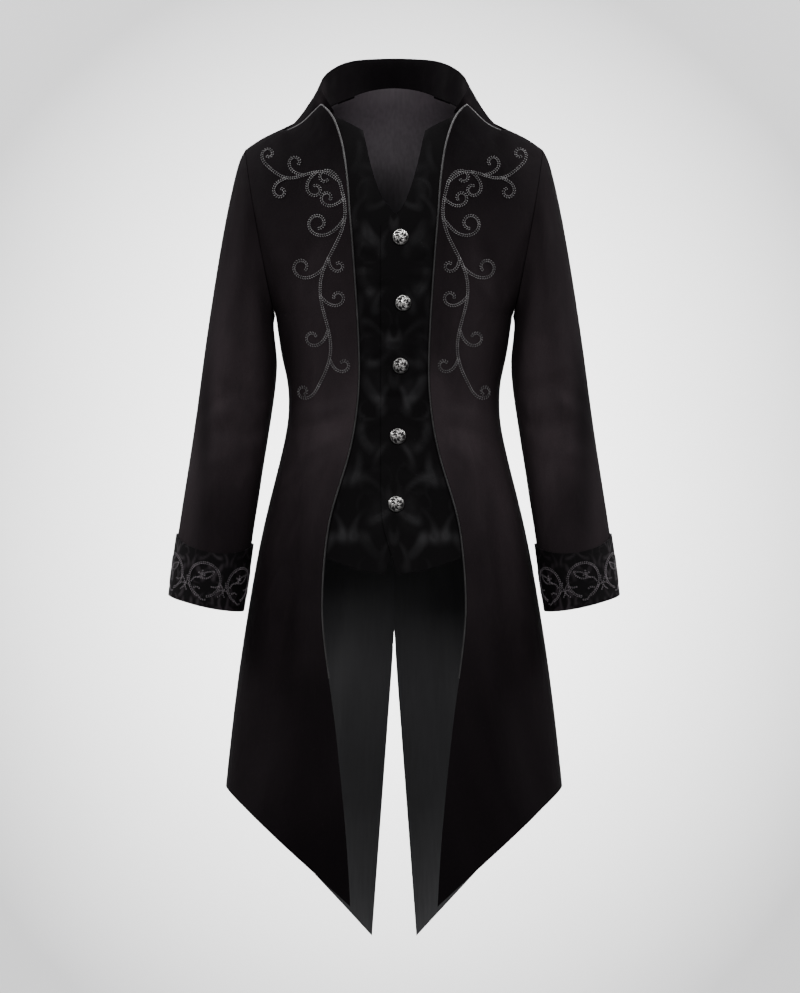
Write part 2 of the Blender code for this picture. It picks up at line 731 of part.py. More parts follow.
def add_buttons(cloth):
    """Domed metal buttons, each square to the cloth that it is sewn to."""
    shape = bmesh.new()
    shape.from_mesh(cloth.data)
    surface = BVHTree.FromBMesh(shape)
    shape.free()
    for number, place in enumerate(BUTTONS, start=1):
        seen_from = Vector((place.x, -1.0, place.z))
        spot, out, _, _ = surface.ray_cast(seen_from, Vector((0.0, 1.0, 0.0)))
        side = Vector((0.0, 0.0, 1.0)).cross(out).normalized()
        up = out.cross(side)
        base = spot + out * BUTTON_CLEARANCE
        turns = [2 * math.pi * step / BUTTON_SIDES for step in range(BUTTON_SIDES)]
        rings = []
        for step in BUTTON_PROFILE:
            centre = base + out * step.height
            rings.append([centre + (side * math.cos(t) + up * math.sin(t)) * step.radius for t in turns])
        add_tube("button_%d" % number, rings, SILVER)


def main():
    for thing in list(bpy.data.objects):
        bpy.data.objects.remove(thing, do_unlink=True)
    front_grid = panel_grid(FRONT_TOP, front_edge_at, FRONT_TIP, "front")
    back_grid = panel_grid(back_top_edge(), vent_edge_at, TAIL_TIP, "back")
    add_fronts(front_grid)
    add_backs(back_grid)
    add_linings(back_grid)
    add_sleeves()
    add_cuffs()
    add_collar()
    overlapping_front = add_vest()
    add_piping(front_grid)
    add_buttons(overlapping_front)


main()
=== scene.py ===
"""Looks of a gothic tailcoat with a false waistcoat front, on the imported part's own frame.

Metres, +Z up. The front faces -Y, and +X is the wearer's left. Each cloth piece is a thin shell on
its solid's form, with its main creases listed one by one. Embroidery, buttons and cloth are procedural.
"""

import math
from collections import namedtuple

import bmesh
import bpy
import numpy as np
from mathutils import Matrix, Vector
from mathutils.bvhtree import BVHTree
from mathutils.kdtree import KDTree


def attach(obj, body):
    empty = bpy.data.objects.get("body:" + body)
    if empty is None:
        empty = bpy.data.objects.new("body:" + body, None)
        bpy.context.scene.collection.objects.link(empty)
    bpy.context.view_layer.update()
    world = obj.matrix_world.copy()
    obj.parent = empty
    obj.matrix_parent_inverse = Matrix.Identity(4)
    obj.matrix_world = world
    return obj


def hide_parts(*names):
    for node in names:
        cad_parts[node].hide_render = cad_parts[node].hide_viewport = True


# Camera and stage
CAMERA_PLACE = Vector((0.0083, -7.0, -0.538))
CAMERA_SENSOR = 36.0
VIEW_HEIGHT = 1.390
FLOOR_Z = -1.75
FLOOR_FRONT = -30.0
BEND_START = 1.6
BEND_RADIUS = 1.4
BEND_STEPS = 16
BACKDROP_TOP = 4.5
BACKDROP_HALF_WIDTH = 30.0

# Shells
MERGE_DISTANCE = 0.00001
CREASE_ANGLE = math.radians(50)
VEST_CREASE_ANGLE = math.radians(33)
QUAD_FACE_ANGLE = math.radians(40)
QUAD_SHAPE_ANGLE = math.radians(60)
RIM_STEPS = 8
HOLD_REACH = 0.035
BODY_HALF_WIDTH = 0.20
BODY_HALF_DEPTH = 0.11
ARMHOLE_TOP = -0.052
ARMHOLE_LOW = -0.287
ARMHOLE_TOP_X = 0.207
ARMHOLE_LOW_X = 0.165
SEAM_REACH = 0.004
INSIDE_FACING = -0.5
SHOULDER_HOLD = -0.045
SEAM_WIDTH = 0.0006
SEAM_LAP = 0.0001
NECK_TOP = 0.06
NECK_NEAR = 0.0018
NECK_FAR = 0.0090
NECK_DROP = 0.0034
NECK_COVER = 0.0016
NECK_SIDE_START = 0.030
NECK_SIDE_END = 0.055
NECK_MIDDLE = (0.0, -0.073)
FOOT_FRONT = -0.012
FOOT_LOW = -0.004
FOOT_TOP = 0.040
NECKLINE_LOW = 0.002
NECKLINE_FRONT = -0.006
LINING_NEAR = 0.0020
LINING_FAR = 0.0220
LINING_LIFT = 0.0060
NECK_EDGE_DARK_REACH = 0.0036
LINING_COVER = 0.0012
LINING_HALF_WIDTH = 0.060
COLLAR_POINT_START = 0.110
COLLAR_POINT_END = 0.150
COLLAR_POINT_DROP = 0.0045
COLLAR_POINT_DRAW = 0.0020
VEST_HIDDEN_START = 0.012
VEST_HIDDEN_END = 0.035
VEST_HIDDEN_DEPTH = 0.0025
SLEEVE_RADIUS = 0.055
SLEEVE_HOLD_TOP = -0.10
SLEEVE_FREE_TOP = -0.22
SLEEVE_HOLD_END = -0.585
SLEEVE_FREE_END = -0.535

# Creases: middle, turn from level in degrees, half length, half width, height and bend
Crease = namedtuple("Crease", "across up turn length width height bend")
FRONT_CREASES = (
    Crease(-0.080, -0.215, 86, 0.110, 0.030, 0.0030, 0.0),
    Crease(-0.136, -0.235, 62, 0.050, 0.013, -0.0030, 1.2),
    Crease(-0.104, -0.418, 6, 0.045, 0.009, 0.0018, 1.5),
    Crease(-0.118, -0.440, 13, 0.038, 0.008, -0.0024, 1.5),
    Crease(-0.102, -0.468, 26, 0.042, 0.010, 0.0020, 1.0),
    Crease(-0.126, -0.497, 40, 0.036, 0.010, -0.0018, 0.5),
    Crease(-0.112, -0.610, 80, 0.100, 0.017, 0.0035, 0.3),
    Crease(-0.146, -0.665, 84, 0.130, 0.016, -0.0030, 0.3),
    Crease(-0.128, -0.845, 83, 0.160, 0.024, 0.0045, -0.2),
    Crease(-0.172, -0.820, 79, 0.130, 0.019, -0.0042, 0.2),
    Crease(-0.096, -0.900, 86, 0.130, 0.016, -0.0032, 0.0),
    Crease(0.082, -0.225, 95, 0.120, 0.030, 0.0028, 0.0),
    Crease(0.138, -0.228, 121, 0.046, 0.012, -0.0028, -1.0),
    Crease(0.132, -0.262, 132, 0.036, 0.009, 0.0014, -1.0),
    Crease(0.108, -0.425, 173, 0.040, 0.009, 0.0018, 1.2),
    Crease(0.114, -0.450, 165, 0.042, 0.008, -0.0024, 1.5),
    Crease(0.100, -0.480, 152, 0.038, 0.010, 0.0018, 1.0),
    Crease(0.118, -0.590, 99, 0.090, 0.016, 0.0034, -0.3),
    Crease(0.150, -0.650, 97, 0.120, 0.017, -0.0030, -0.3),
    Crease(0.134, -0.830, 98, 0.150, 0.023, 0.0045, 0.3),
    Crease(0.178, -0.850, 101, 0.120, 0.018, -0.0042, 0.0),
    Crease(0.098, -0.915, 93, 0.120, 0.017, -0.0030, 0.0),
)
BACK_CREASES = (
    Crease(-0.075, -0.180, 84, 0.110, 0.032, 0.0030, 0.0),
    Crease(-0.135, -0.245, 60, 0.055, 0.014, -0.0032, 1.2),
    Crease(-0.090, -0.428, 8, 0.060, 0.009, -0.0022, 1.2),
    Crease(-0.080, -0.402, 3, 0.055, 0.010, 0.0016, 1.2),
    Crease(-0.085, -0.462, 20, 0.048, 0.011, 0.0020, 0.8),
    Crease(-0.060, -0.640, 84, 0.130, 0.018, 0.0035, 0.2),
    Crease(-0.120, -0.700, 82, 0.150, 0.021, -0.0038, 0.2),
    Crease(-0.160, -0.800, 78, 0.130, 0.019, 0.0038, 0.0),
    Crease(-0.085, -0.920, 86, 0.140, 0.018, -0.0035, 0.0),
    Crease(0.078, -0.190, 97, 0.115, 0.031, 0.0030, 0.0),
    Crease(0.132, -0.240, 122, 0.052, 0.013, -0.0030, -1.2),
    Crease(0.085, -0.435, 171, 0.058, 0.009, -0.0022, 1.2),
    Crease(0.092, -0.408, 176, 0.050, 0.010, 0.0016, 1.2),
    Crease(0.080, -0.470, 158, 0.045, 0.011, 0.0018, 0.8),
    Crease(0.066, -0.630, 95, 0.120, 0.018, 0.0035, -0.2),
    Crease(0.126, -0.710, 98, 0.150, 0.021, -0.0038, -0.2),
    Crease(0.168, -0.790, 101, 0.130, 0.018, 0.0038, 0.0),
    Crease(0.090, -0.935, 94, 0.130, 0.018, -0.0035, 0.0),
)
VEST_CREASES = (
    Crease(-0.040, -0.205, 152, 0.026, 0.0050, -0.0013, 2.0),
    Crease(0.045, -0.210, 28, 0.026, 0.0050, -0.0013, 2.0),
    Crease(-0.030, -0.252, 12, 0.030, 0.0050, -0.0014, -3.0),
    Crease(0.042, -0.246, 165, 0.026, 0.0050, -0.0012, -3.0),
    Crease(0.000, -0.310, 3, 0.034, 0.0060, -0.0015, 4.0),
    Crease(0.012, -0.325, 174, 0.034, 0.0045, 0.0007, 4.0),
    Crease(-0.028, -0.350, 160, 0.022, 0.0050, -0.0012, 0.0),
    Crease(0.034, -0.372, 20, 0.022, 0.0050, -0.0012, 0.0),
    Crease(0.002, -0.402, 0, 0.034, 0.0060, -0.0018, 4.0),
    Crease(0.004, -0.418, 0, 0.030, 0.0050, 0.0007, 4.0),
    Crease(-0.036, -0.452, 28, 0.026, 0.0055, -0.0014, 0.0),
    Crease(0.040, -0.448, 155, 0.026, 0.0055, -0.0014, 0.0),
    Crease(-0.034, -0.502, 12, 0.036, 0.0060, -0.0014, 2.0),
    Crease(0.044, -0.508, 168, 0.036, 0.0060, -0.0014, 2.0),
    Crease(-0.050, -0.560, 76, 0.036, 0.0090, -0.0018, 0.0),
    Crease(0.056, -0.566, 103, 0.036, 0.0090, -0.0018, 0.0),
    Crease(0.026, -0.590, 95, 0.028, 0.0070, -0.0014, 0.0),
)
SLEEVE_CREASES = (
    Crease(0.020, -0.190, 75, 0.060, 0.016, 0.0020, 0.0),
    Crease(-0.030, -0.290, 70, 0.070, 0.014, -0.0022, 0.0),
    Crease(-0.010, -0.385, 18, 0.036, 0.009, -0.0028, 2.0),
    Crease(-0.004, -0.412, 12, 0.040, 0.010, 0.0022, 2.0),
    Crease(-0.014, -0.440, 4, 0.038, 0.009, -0.0026, 2.0),
    Crease(0.000, -0.475, -10, 0.036, 0.011, 0.0020, 1.0),
    Crease(0.030, -0.400, 150, 0.030, 0.010, -0.0020, 1.0),
    Crease(0.012, -0.540, 80, 0.050, 0.014, 0.0018, 0.0),
    Crease(0.140, -0.330, 84, 0.110, 0.018, 0.0020, 0.0),
    Crease(0.150, -0.420, 14, 0.040, 0.012, -0.0020, 1.0),
    Crease(0.160, -0.510, 86, 0.070, 0.016, -0.0018, 0.0),
)
RIGHT_SLEEVE_LIFT = 0.012

# Sleeve's middle line: height, distance from the centre, and how far forward
SLEEVE_LINE = (
    (-0.170, 0.187, 0.000),
    (-0.230, 0.199, 0.000),
    (-0.350, 0.212, 0.000),
    (-0.410, 0.219, -0.002),
    (-0.480, 0.230, -0.010),
    (-0.545, 0.242, -0.025),
    (-0.600, 0.2495, -0.036),
    (-0.644, 0.2555, -0.045),
    (-0.685, 0.261, -0.052),
)
SLEEVE_LINE_Z, SLEEVE_LINE_X, SLEEVE_LINE_Y = zip(*reversed(SLEEVE_LINE))

# Soft patches of painted light and shade: distance from the centre, height, half sizes and gain
Patch = namedtuple("Patch", "across up wide high gain")
BODY_PAINTED_LIGHT = (
    Patch(0.170, -0.500, 0.032, 0.100, 1.00),
    Patch(0.175, -0.640, 0.040, 0.100, 0.45),
    Patch(0.095, -0.450, 0.030, 0.040, 0.45),
    Patch(0.085, -0.450, 0.022, 0.110, -0.35),
    Patch(0.070, -0.030, 0.080, 0.070, -0.62),
    Patch(0.150, -0.090, 0.040, 0.060, -0.30),
    Patch(0.105, -0.205, 0.030, 0.045, 0.22),
    Patch(0.130, -0.260, 0.035, 0.030, 0.18),
)
SLEEVE_PAINTED_LIGHT = (
    Patch(0.264, -0.430, 0.016, 0.150, -0.75),
    Patch(0.205, -0.520, 0.024, 0.090, 0.25),
    Patch(0.250, -0.560, 0.050, 0.040, -0.20),
    Patch(0.195, -0.330, 0.016, 0.110, 0.30),
)
# Painted highlights along the collar's fold lines at its sides
COLLAR_PAINTED_HIGHLIGHT = (
    Patch(0.0985, 0.034, 0.004, 0.012, 6.0),
    Patch(0.104, 0.014, 0.005, 0.008, 4.0),
)
# Painted highlight on the waistcoat: soft patches of painted sheen, added to its satin
VEST_PAINTED_SHEEN = (
    Patch(0.040, -0.185, 0.013, 0.014, 0.90),
    Patch(0.038, -0.112, 0.010, 0.020, 0.60),
    Patch(0.044, -0.228, 0.016, 0.005, 0.70),
    Patch(0.032, -0.256, 0.012, 0.022, 0.60),
    Patch(0.006, -0.330, 0.016, 0.010, 0.75),
    Patch(0.038, -0.345, 0.010, 0.030, 0.60),
    Patch(0.020, -0.385, 0.012, 0.030, 0.55),
    Patch(0.048, -0.440, 0.014, 0.020, 0.45),
    Patch(0.022, -0.470, 0.018, 0.014, 0.40),
    Patch(0.058, -0.510, 0.020, 0.016, 0.70),
    Patch(0.020, -0.560, 0.016, 0.026, 0.70),
    Patch(0.062, -0.595, 0.024, 0.012, 0.80),
)
VEST_LEAF_SHARE = 0.75
VEST_PAINTED_SHEEN_SHARE = 0.55
VEST_LEAF_GROUND = 0.55

# How much further a front's edge stands open, by height
OPENING_Z = (-0.800, -0.700, -0.571, -0.473, -0.350, -0.144, -0.050)
OPENING_X = (0.0, 0.0028, 0.0036, 0.0027, 0.0020, 0.0034, 0.0)
OPENING_REACH = 0.030

# Front edge of a front, as in the part: heights, and distances from the centre
FRONT_EDGE = (
    (-0.690, 0.0985),
    (-0.598, 0.092),
    (-0.545, 0.081),
    (-0.477, 0.060),
    (-0.414, 0.050),
    (-0.377, 0.0475),
    (-0.339, 0.048),
    (-0.227, 0.0535),
    (-0.137, 0.060),
    (-0.074, 0.068),
    (-0.028, 0.079),
)
FRONT_EDGE_Z, FRONT_EDGE_X = zip(*FRONT_EDGE)

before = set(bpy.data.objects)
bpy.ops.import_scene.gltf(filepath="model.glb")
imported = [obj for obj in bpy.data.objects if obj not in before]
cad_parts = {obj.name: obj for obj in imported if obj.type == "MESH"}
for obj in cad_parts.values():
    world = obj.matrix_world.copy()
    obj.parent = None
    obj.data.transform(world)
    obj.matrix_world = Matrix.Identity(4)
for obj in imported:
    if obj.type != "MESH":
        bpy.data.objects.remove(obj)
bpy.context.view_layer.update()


# Materials

def add_node(material, kind, settings, inputs):
    """A node with its settings, and its inputs given as numbers or linked sockets."""
    node = material.node_tree.nodes.new(kind)
    for name, value in settings.items():
        setattr(node, name, value)
    for name, value in inputs.items():
        if isinstance(value, bpy.types.NodeSocket):
            material.node_tree.links.new(value, node.inputs[name])
        else:
            node.inputs[name].default_value = value
    return node


def new_material(name, values):
    """A material, its main shader with the given values, and the point it is worked out at."""
    material = bpy.data.materials.new(name)
    material.use_nodes = True
    shader = material.node_tree.nodes["Principled BSDF"]
    for socket, value in values.items():
        shader.inputs[socket].default_value = value
    place = add_node(material, "ShaderNodeTexCoord", {}, {}).outputs["Object"]
    return material, shader, place


def noise(material, place, scale, detail=2.0, stretch=(1.0, 1.0, 1.0), distortion=0.0):
    """Soft noise between 0 and 1 at so many cells a metre."""
    stretched = add_node(material, "ShaderNodeMapping", {}, {"Vector": place, "Scale": stretch})
    inputs = {
        "Vector": stretched.outputs["Vector"],
        "Scale": scale,
        "Detail": detail,
        "Distortion": distortion,
    }
    return add_node(material, "ShaderNodeTexNoise", {}, inputs).outputs["Fac"]


def between(material, value, low, high, start=0.0, end=1.0):
    """The value's range from low to high, made into one from start to end."""
    inputs = {"Value": value, 1: low, 2: high, 3: start, 4: end}
    return add_node(material, "ShaderNodeMapRange", {"clamp": True}, inputs).outputs[0]


def math_node(material, operation, *values):
    inputs = dict(enumerate(values))
    return add_node(material, "ShaderNodeMath", {"operation": operation}, inputs).outputs[0]


def blend_colours(material, share, one, other):
    inputs = {0: share, 6: one, 7: other}
    return add_node(material, "ShaderNodeMix", {"data_type": "RGBA"}, inputs).outputs[2]


def add_bump(material, height, distance, strength=1.0, normal=None):
    inputs = {"Height": height, "Distance": distance, "Strength": strength}
    if normal is not None:
        inputs["Normal"] = normal
    return add_node(material, "ShaderNodeBump", {}, inputs).outputs["Normal"]


def join(material, output, shader, socket):
    material.node_tree.links.new(output, shader.inputs[socket])


# Velvet's painted light and shade by height: height, and share of the way from its dark to its light tone
VELVET_PAINTED_TONES = (
    (-1.080, 0.08),
    (-0.950, 0.13),
    (-0.800, 0.19),
    (-0.630, 0.38),
    (-0.540, 0.62),
    (-0.460, 0.88),
    (-0.370, 0.80),
    (-0.250, 0.46),
    (-0.150, 0.30),
    (-0.060, 0.17),
    (0.020, 0.02),
)
VELVET_LOW = -1.20
VELVET_HIGH = 0.09


def velvet_material():
    """Black velvet: nap that lies in soft patches, a fine pile, and a faint warm sheen, with painted light and
    shade by height, in listed patches and towards its outlines.
    """
    values = {"Sheen Weight": 0.006, "Sheen Roughness": 0.40, "Sheen Tint": (0.60, 0.50, 0.53, 1.0)}
    values["Specular IOR Level"] = 0.01
    material, shader, place = new_material("velvet", values)
    # Painted light and shade: the tone follows a ramp by height, lightest about the waist, darkest at the hem
    # and in the collar.
    height = add_node(material, "ShaderNodeSeparateXYZ", {}, {"Vector": place}).outputs["Z"]
    level = between(material, height, VELVET_LOW, VELVET_HIGH)
    ramp = add_node(material, "ShaderNodeValToRGB", {}, {"Fac": level})
    ramp.color_ramp.interpolation = "B_SPLINE"
    for place_z, tone in VELVET_PAINTED_TONES:
        element = ramp.color_ramp.elements.new((place_z - VELVET_LOW) / (VELVET_HIGH - VELVET_LOW))
        element.color = (tone, tone, tone, 1.0)
    ramp.color_ramp.elements.remove(ramp.color_ramp.elements[0])
    ramp.color_ramp.elements.remove(ramp.color_ramp.elements[-1])
    patches = noise(material, place, 7.0, 3.0, (1.0, 1.0, 0.5), 0.6)
    brushed = noise(material, place, 42.0, 2.0, (1.0, 1.0, 0.35), 1.0)
    pile = noise(material, place, 1500.0, 1.0)
    nap_and_painted_light = math_node(material, "MULTIPLY_ADD", brushed, 0.30, patches)
    share = between(material, nap_and_painted_light, 0.40, 0.95, 0.55, 1.45)
    share = math_node(material, "MULTIPLY", share, ramp.outputs["Color"])
    # Painted light and shade: a point attribute of listed patches scales the tone.
    painted_light = add_node(material, "ShaderNodeAttribute", {"attribute_name": "nap_and_painted_light"}, {}).outputs["Fac"]
    share = math_node(material, "MULTIPLY", share, painted_light)
    # Painted shade: the velvet is darker towards its outlines, where its surface turns side-on.
    facing = add_node(material, "ShaderNodeLayerWeight", {}, {"Blend": 0.5}).outputs["Facing"]
    share = math_node(material, "MULTIPLY", share, between(material, facing, 0.3, 1.0, 1.0, 0.45))
    colour = blend_colours(material, share, (0.0008, 0.0006, 0.0008, 1.0), (0.0150, 0.0117, 0.0130, 1.0))
    grain = between(material, pile, 0.35, 0.65, 0.0, 0.35)
    colour = blend_colours(material, grain, colour, (0.0006, 0.0005, 0.0006, 1.0))
    join(material, colour, shader, "Base Color")
    join(material, between(material, brushed, 0.3, 0.7, 0.72, 0.92), shader, "Roughness")
    soft = add_bump(material, brushed, 0.0015, 0.5)
    join(material, add_bump(material, pile, 0.0004, 0.5, soft), shader, "Normal")
    return material


def twill(material, place, count, turn):
    """Fine lines of a weave, so many a metre, at a turn in the cloth."""
    turned = add_node(material, "ShaderNodeMapping", {}, {"Vector": place, "Rotation": (0.0, turn, 0.0)})
    settings = {"wave_type": "BANDS", "bands_direction": "X"}
    inputs = {
        "Vector": turned.outputs["Vector"],
        "Scale": count / math.tau * 2,
        "Distortion": 0.6,
        "Detail": 1.0,
    }
    return add_node(material, "ShaderNodeTexWave", settings, inputs).outputs["Fac"]


def brocade_material(name, satin_tone):
    """Black jacquard: matt ground, satin leaves and painted sheen where the cloth's points say so, and a fine
    weave.
    """
    values = {"Sheen Weight": 0.004, "Sheen Roughness": 0.35}
    material, shader, place = new_material(name, values)
    satin_and_painted_sheen = add_node(material, "ShaderNodeAttribute", {"attribute_name": "satin_and_painted_sheen"}, {}).outputs["Fac"]
    pattern = between(material, satin_and_painted_sheen, 0.1, 0.9)
    ground_weave = twill(material, place, 900.0, 0.5)
    satin_weave = twill(material, place, 1300.0, 1.35)
    worn = noise(material, place, 16.0, 3.0, (1.0, 1.0, 0.7), 0.8)
    tone = math_node(material, "MULTIPLY", pattern, between(material, worn, 0.36, 0.64, 0.25, 1.0))
    colour = blend_colours(material, tone, (0.0020, 0.0018, 0.0020, 1.0), (*satin_tone, 1.0))
    shade = between(material, ground_weave, 0.2, 0.8, 0.0, 0.35)
    colour = blend_colours(material, shade, colour, (0.0006, 0.0006, 0.0006, 1.0))
    join(material, colour, shader, "Base Color")
    join(material, between(material, pattern, 0.0, 1.0, 0.62, 0.46), shader, "Roughness")
    join(material, between(material, tone, 0.0, 1.0, 0.010, 0.045), shader, "Specular IOR Level")
    raised = add_bump(material, pattern, 0.0006, 0.8)
    weave = math_node(material, "ADD", ground_weave, math_node(material, "MULTIPLY", pattern, satin_weave))
    join(material, add_bump(material, weave, 0.00010, 0.4, raised), shader, "Normal")
    return material


def lining_material():
    """Dark grey satin, with painted light that makes it a little lighter in the neck and at the tails' points.
    """
    values = {"Specular IOR Level": 0.16, "Anisotropic": 0.4, "Sheen Weight": 0.01}
    material, shader, place = new_material("lining_satin", values)
    # Painted light and shade by height: lightest inside the neck, lighter at the tails' points.
    height = add_node(material, "ShaderNodeSeparateXYZ", {}, {"Vector": place}).outputs["Z"]
    share = between(material, height, -1.20, 0.04)
    ramp = add_node(material, "ShaderNodeValToRGB", {}, {"Fac": share})
    tones = ramp.color_ramp
    tones.elements[0].color = (0.0290, 0.0290, 0.0305, 1.0)
    tones.elements[1].color = (0.0205, 0.0165, 0.0195, 1.0)
    painted_light_tones = (
        (0.18, (0.0092, 0.0092, 0.0100, 1.0)),
        (0.40, (0.0108, 0.0106, 0.0118, 1.0)),
        (0.72, (0.0140, 0.0137, 0.0155, 1.0)),
        (0.83, (0.0165, 0.0158, 0.0178, 1.0)),
        (0.915, (0.0400, 0.0350, 0.0395, 1.0)),
        (0.965, (0.0240, 0.0200, 0.0235, 1.0)),
    )
    for position, tone in painted_light_tones:
        tones.elements.new(position).color = tone
    threads = noise(material, place, 260.0, 2.0, (1.0, 1.0, 0.04))
    waves = noise(material, place, 6.0, 2.0, (1.0, 1.0, 0.5), 0.5)
    shade = between(material, threads, 0.35, 0.65, 0.0, 0.22)
    colour = blend_colours(material, shade, ramp.outputs["Color"], (0.0038, 0.0036, 0.0039, 1.0))
    join(material, colour, shader, "Base Color")
    join(material, between(material, waves, 0.3, 0.7, 0.40, 0.55), shader, "Roughness")
    join(material, add_bump(material, threads, 0.00015, 0.5), shader, "Normal")
    return material


def piping_material():
    """Grey satin cord with a slanting twist, with painted light that makes it lighter towards the neck."""
    material, shader, place = new_material("piping_satin", {"Specular IOR Level": 0.12, "Sheen Weight": 0.02})
    twist = twill(material, place, 620.0, 1.1)
    worn = noise(material, place, 60.0, 2.0)
    tone = math_node(material, "MULTIPLY", between(material, twist, 0.0, 1.0, 0.45, 1.0), worn)
    # Painted light: the cord is up to 3.2 times lighter towards the neck.
    height = add_node(material, "ShaderNodeSeparateXYZ", {}, {"Vector": place}).outputs["Z"]
    tone = math_node(material, "MULTIPLY", tone, between(material, height, -0.10, -0.01, 1.0, 3.2))
    colour = blend_colours(
        material, between(material, tone, 0.1, 2.1), (0.0025, 0.0024, 0.0025, 1.0), (0.0480, 0.0455, 0.0470, 1.0)
    )
    join(material, colour, shader, "Base Color")
    join(material, between(material, twist, 0.0, 1.0, 0.6, 0.42), shader, "Roughness")
    join(material, add_bump(material, twist, 0.0004, 0.7), shader, "Normal")
    return material


def thread_material(name, dark, light):
    """Embroidery thread: two tones, fine fibres, and a dull gloss."""
    material, shader, place = new_material(name, {"Specular IOR Level": 0.10, "Sheen Weight": 0.02})
    fibres = noise(material, place, 2200.0, 1.0)
    patches = noise(material, place, 90.0, 2.0)
    share = math_node(material, "MULTIPLY", between(material, patches, 0.3, 0.7, 0.35, 1.0), fibres)
    colour = blend_colours(material, between(material, share, 0.1, 0.6), (*dark, 1.0), (*light, 1.0))
    join(material, colour, shader, "Base Color")
    join(material, between(material, fibres, 0.3, 0.7, 0.42, 0.66), shader, "Roughness")
    join(material, add_bump(material, fibres, 0.0003, 0.6), shader, "Normal")
    return material


def silver_material():
    """Antique silver: bright on its raised work, dark in the recesses, with painted light on each button's upper
    left and on the upper buttons.
    """
    material, shader, place = new_material("silver", {"Metallic": 1.0})
    # The raised share carries the raised work and painted light, lighter on each button's upper left as seen
    # from the front.
    height = add_node(material, "ShaderNodeAttribute", {"attribute_name": "raised"}, {}).outputs["Fac"]
    grime = noise(material, place, 700.0, 3.0)
    shown = math_node(material, "MULTIPLY_ADD", grime, 0.35, height)
    # Painted light: the upper buttons lighter than the lower ones.
    level = add_node(material, "ShaderNodeSeparateXYZ", {}, {"Vector": place}).outputs["Z"]
    upper_painted_light = between(material, level, -0.34, -0.29, 0.55, 1.0)
    share = math_node(material, "MULTIPLY", between(material, shown, 0.28, 0.95), upper_painted_light)
    colour = blend_colours(material, share, (0.012, 0.0115, 0.012, 1.0), (0.42, 0.41, 0.40, 1.0))
    join(material, colour, shader, "Base Color")
    join(material, between(material, share, 0.0, 1.0, 0.55, 0.22), shader, "Roughness")
    scratches = noise(material, place, 1600.0, 2.0, (1.0, 1.0, 0.3))
    join(material, add_bump(material, scratches, 0.00006, 0.6), shader, "Normal")
    return material


# Shells on the solids' forms

def points_of(mesh):
    flat = np.empty(len(mesh.vertices) * 3)
    mesh.vertices.foreach_get("co", flat)
    return flat.reshape(-1, 3)


def subdivided_copy(node, levels, crease_angle=CREASE_ANGLE):
    """A smooth copy of a node's solid, its edges kept, and the points of its rims."""
    work = bmesh.new()
    work.from_mesh(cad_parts[node].data)
    bmesh.ops.remove_doubles(work, verts=work.verts, dist=MERGE_DISTANCE)
    bmesh.ops.join_triangles(
        work,
        faces=work.faces,
        angle_face_threshold=QUAD_FACE_ANGLE,
        angle_shape_threshold=QUAD_SHAPE_ANGLE,
    )
    layer = work.edges.layers.float.new("crease_edge")
    rims = []
    for edge in work.edges:
        if edge.calc_face_angle(0.0) > crease_angle:
            edge[layer] = 1.0
            start, end = (vertex.co for vertex in edge.verts)
            rims.extend(start.lerp(end, step / RIM_STEPS) for step in range(RIM_STEPS + 1))
    mesh = bpy.data.meshes.new(node + "_cloth")
    work.to_mesh(mesh)
    work.free()
    mesh.materials.clear()
    if "custom_normal" in mesh.attributes:
        mesh.attributes.remove(mesh.attributes["custom_normal"])
    thing = bpy.data.objects.new(node + "_cloth", mesh)
    bpy.context.scene.collection.objects.link(thing)
    modifier = thing.modifiers.new("smooth", "SUBSURF")
    modifier.levels = levels
    modifier.render_levels = levels
    evaluated = thing.evaluated_get(bpy.context.evaluated_depsgraph_get())
    smooth = bpy.data.meshes.new_from_object(evaluated)
    thing.modifiers.clear()
    thing.data = smooth
    smooth.shade_smooth()
    smooth.set_sharp_from_angle(angle=CREASE_ANGLE)
    return thing, rims


def relief(creases, across, up):
    """Height of all the creases at points of the cloth laid flat."""
    total = np.zeros(len(across))
    for crease in creases:
        turn = math.radians(crease.turn)
        aside = across - crease.across
        rise = up - crease.up
        along = aside * math.cos(turn) + rise * math.sin(turn)
        off = rise * math.cos(turn) - aside * math.sin(turn) - crease.bend * along ** 2
        total += crease.height * np.exp(-((off / crease.width) ** 2) - (along / crease.length) ** 4)
    return total


def smooth_step(start, end, value):
    share = np.clip((value - start) / (end - start), 0.0, 1.0)
    return share * share * (3.0 - 2.0 * share)


def is_held(point):
    """True on the shoulder, armhole and side seams, where pieces meet and can't move apart."""
    if point.z > SHOULDER_HOLD:
        return True
    if point.z < ARMHOLE_LOW:
        return abs(point.y) < SEAM_REACH
    share = (point.z - ARMHOLE_LOW) / (ARMHOLE_TOP - ARMHOLE_LOW)
    seam = ARMHOLE_LOW_X + (ARMHOLE_TOP_X - ARMHOLE_LOW_X) * share
    return abs(point.x) > seam - SEAM_REACH


def tree_of(points):
    tree = KDTree(len(points))
    for index, point in enumerate(points):
        tree.insert(point, index)
    tree.balance()
    return tree


def freedom(points, held):
    """0 at held seams, rising to 1 away from them."""
    distances = np.array([held.find(Vector(point))[2] for point in points])
    return smooth_step(0.0, HOLD_REACH, distances)


def body_outward(points):
    out = points / np.array([BODY_HALF_WIDTH ** 2, BODY_HALF_DEPTH ** 2, 1.0])
    out[:, 2] = 0.0
    return out / np.linalg.norm(out, axis=1)[:, None]


def move_points(thing, shifts):
    moved = points_of(thing.data) + shifts
    thing.data.vertices.foreach_set("co", moved.ravel())
    thing.data.update()


def shift_body_piece(thing, creases, held):
    """Moves a piece of the body by its creases, free away from the held seams."""
    points = points_of(thing.data)
    heights = relief(creases, points[:, 0], points[:, 2]) * freedom(points, held)
    move_points(thing, body_outward(points) * heights[:, None])


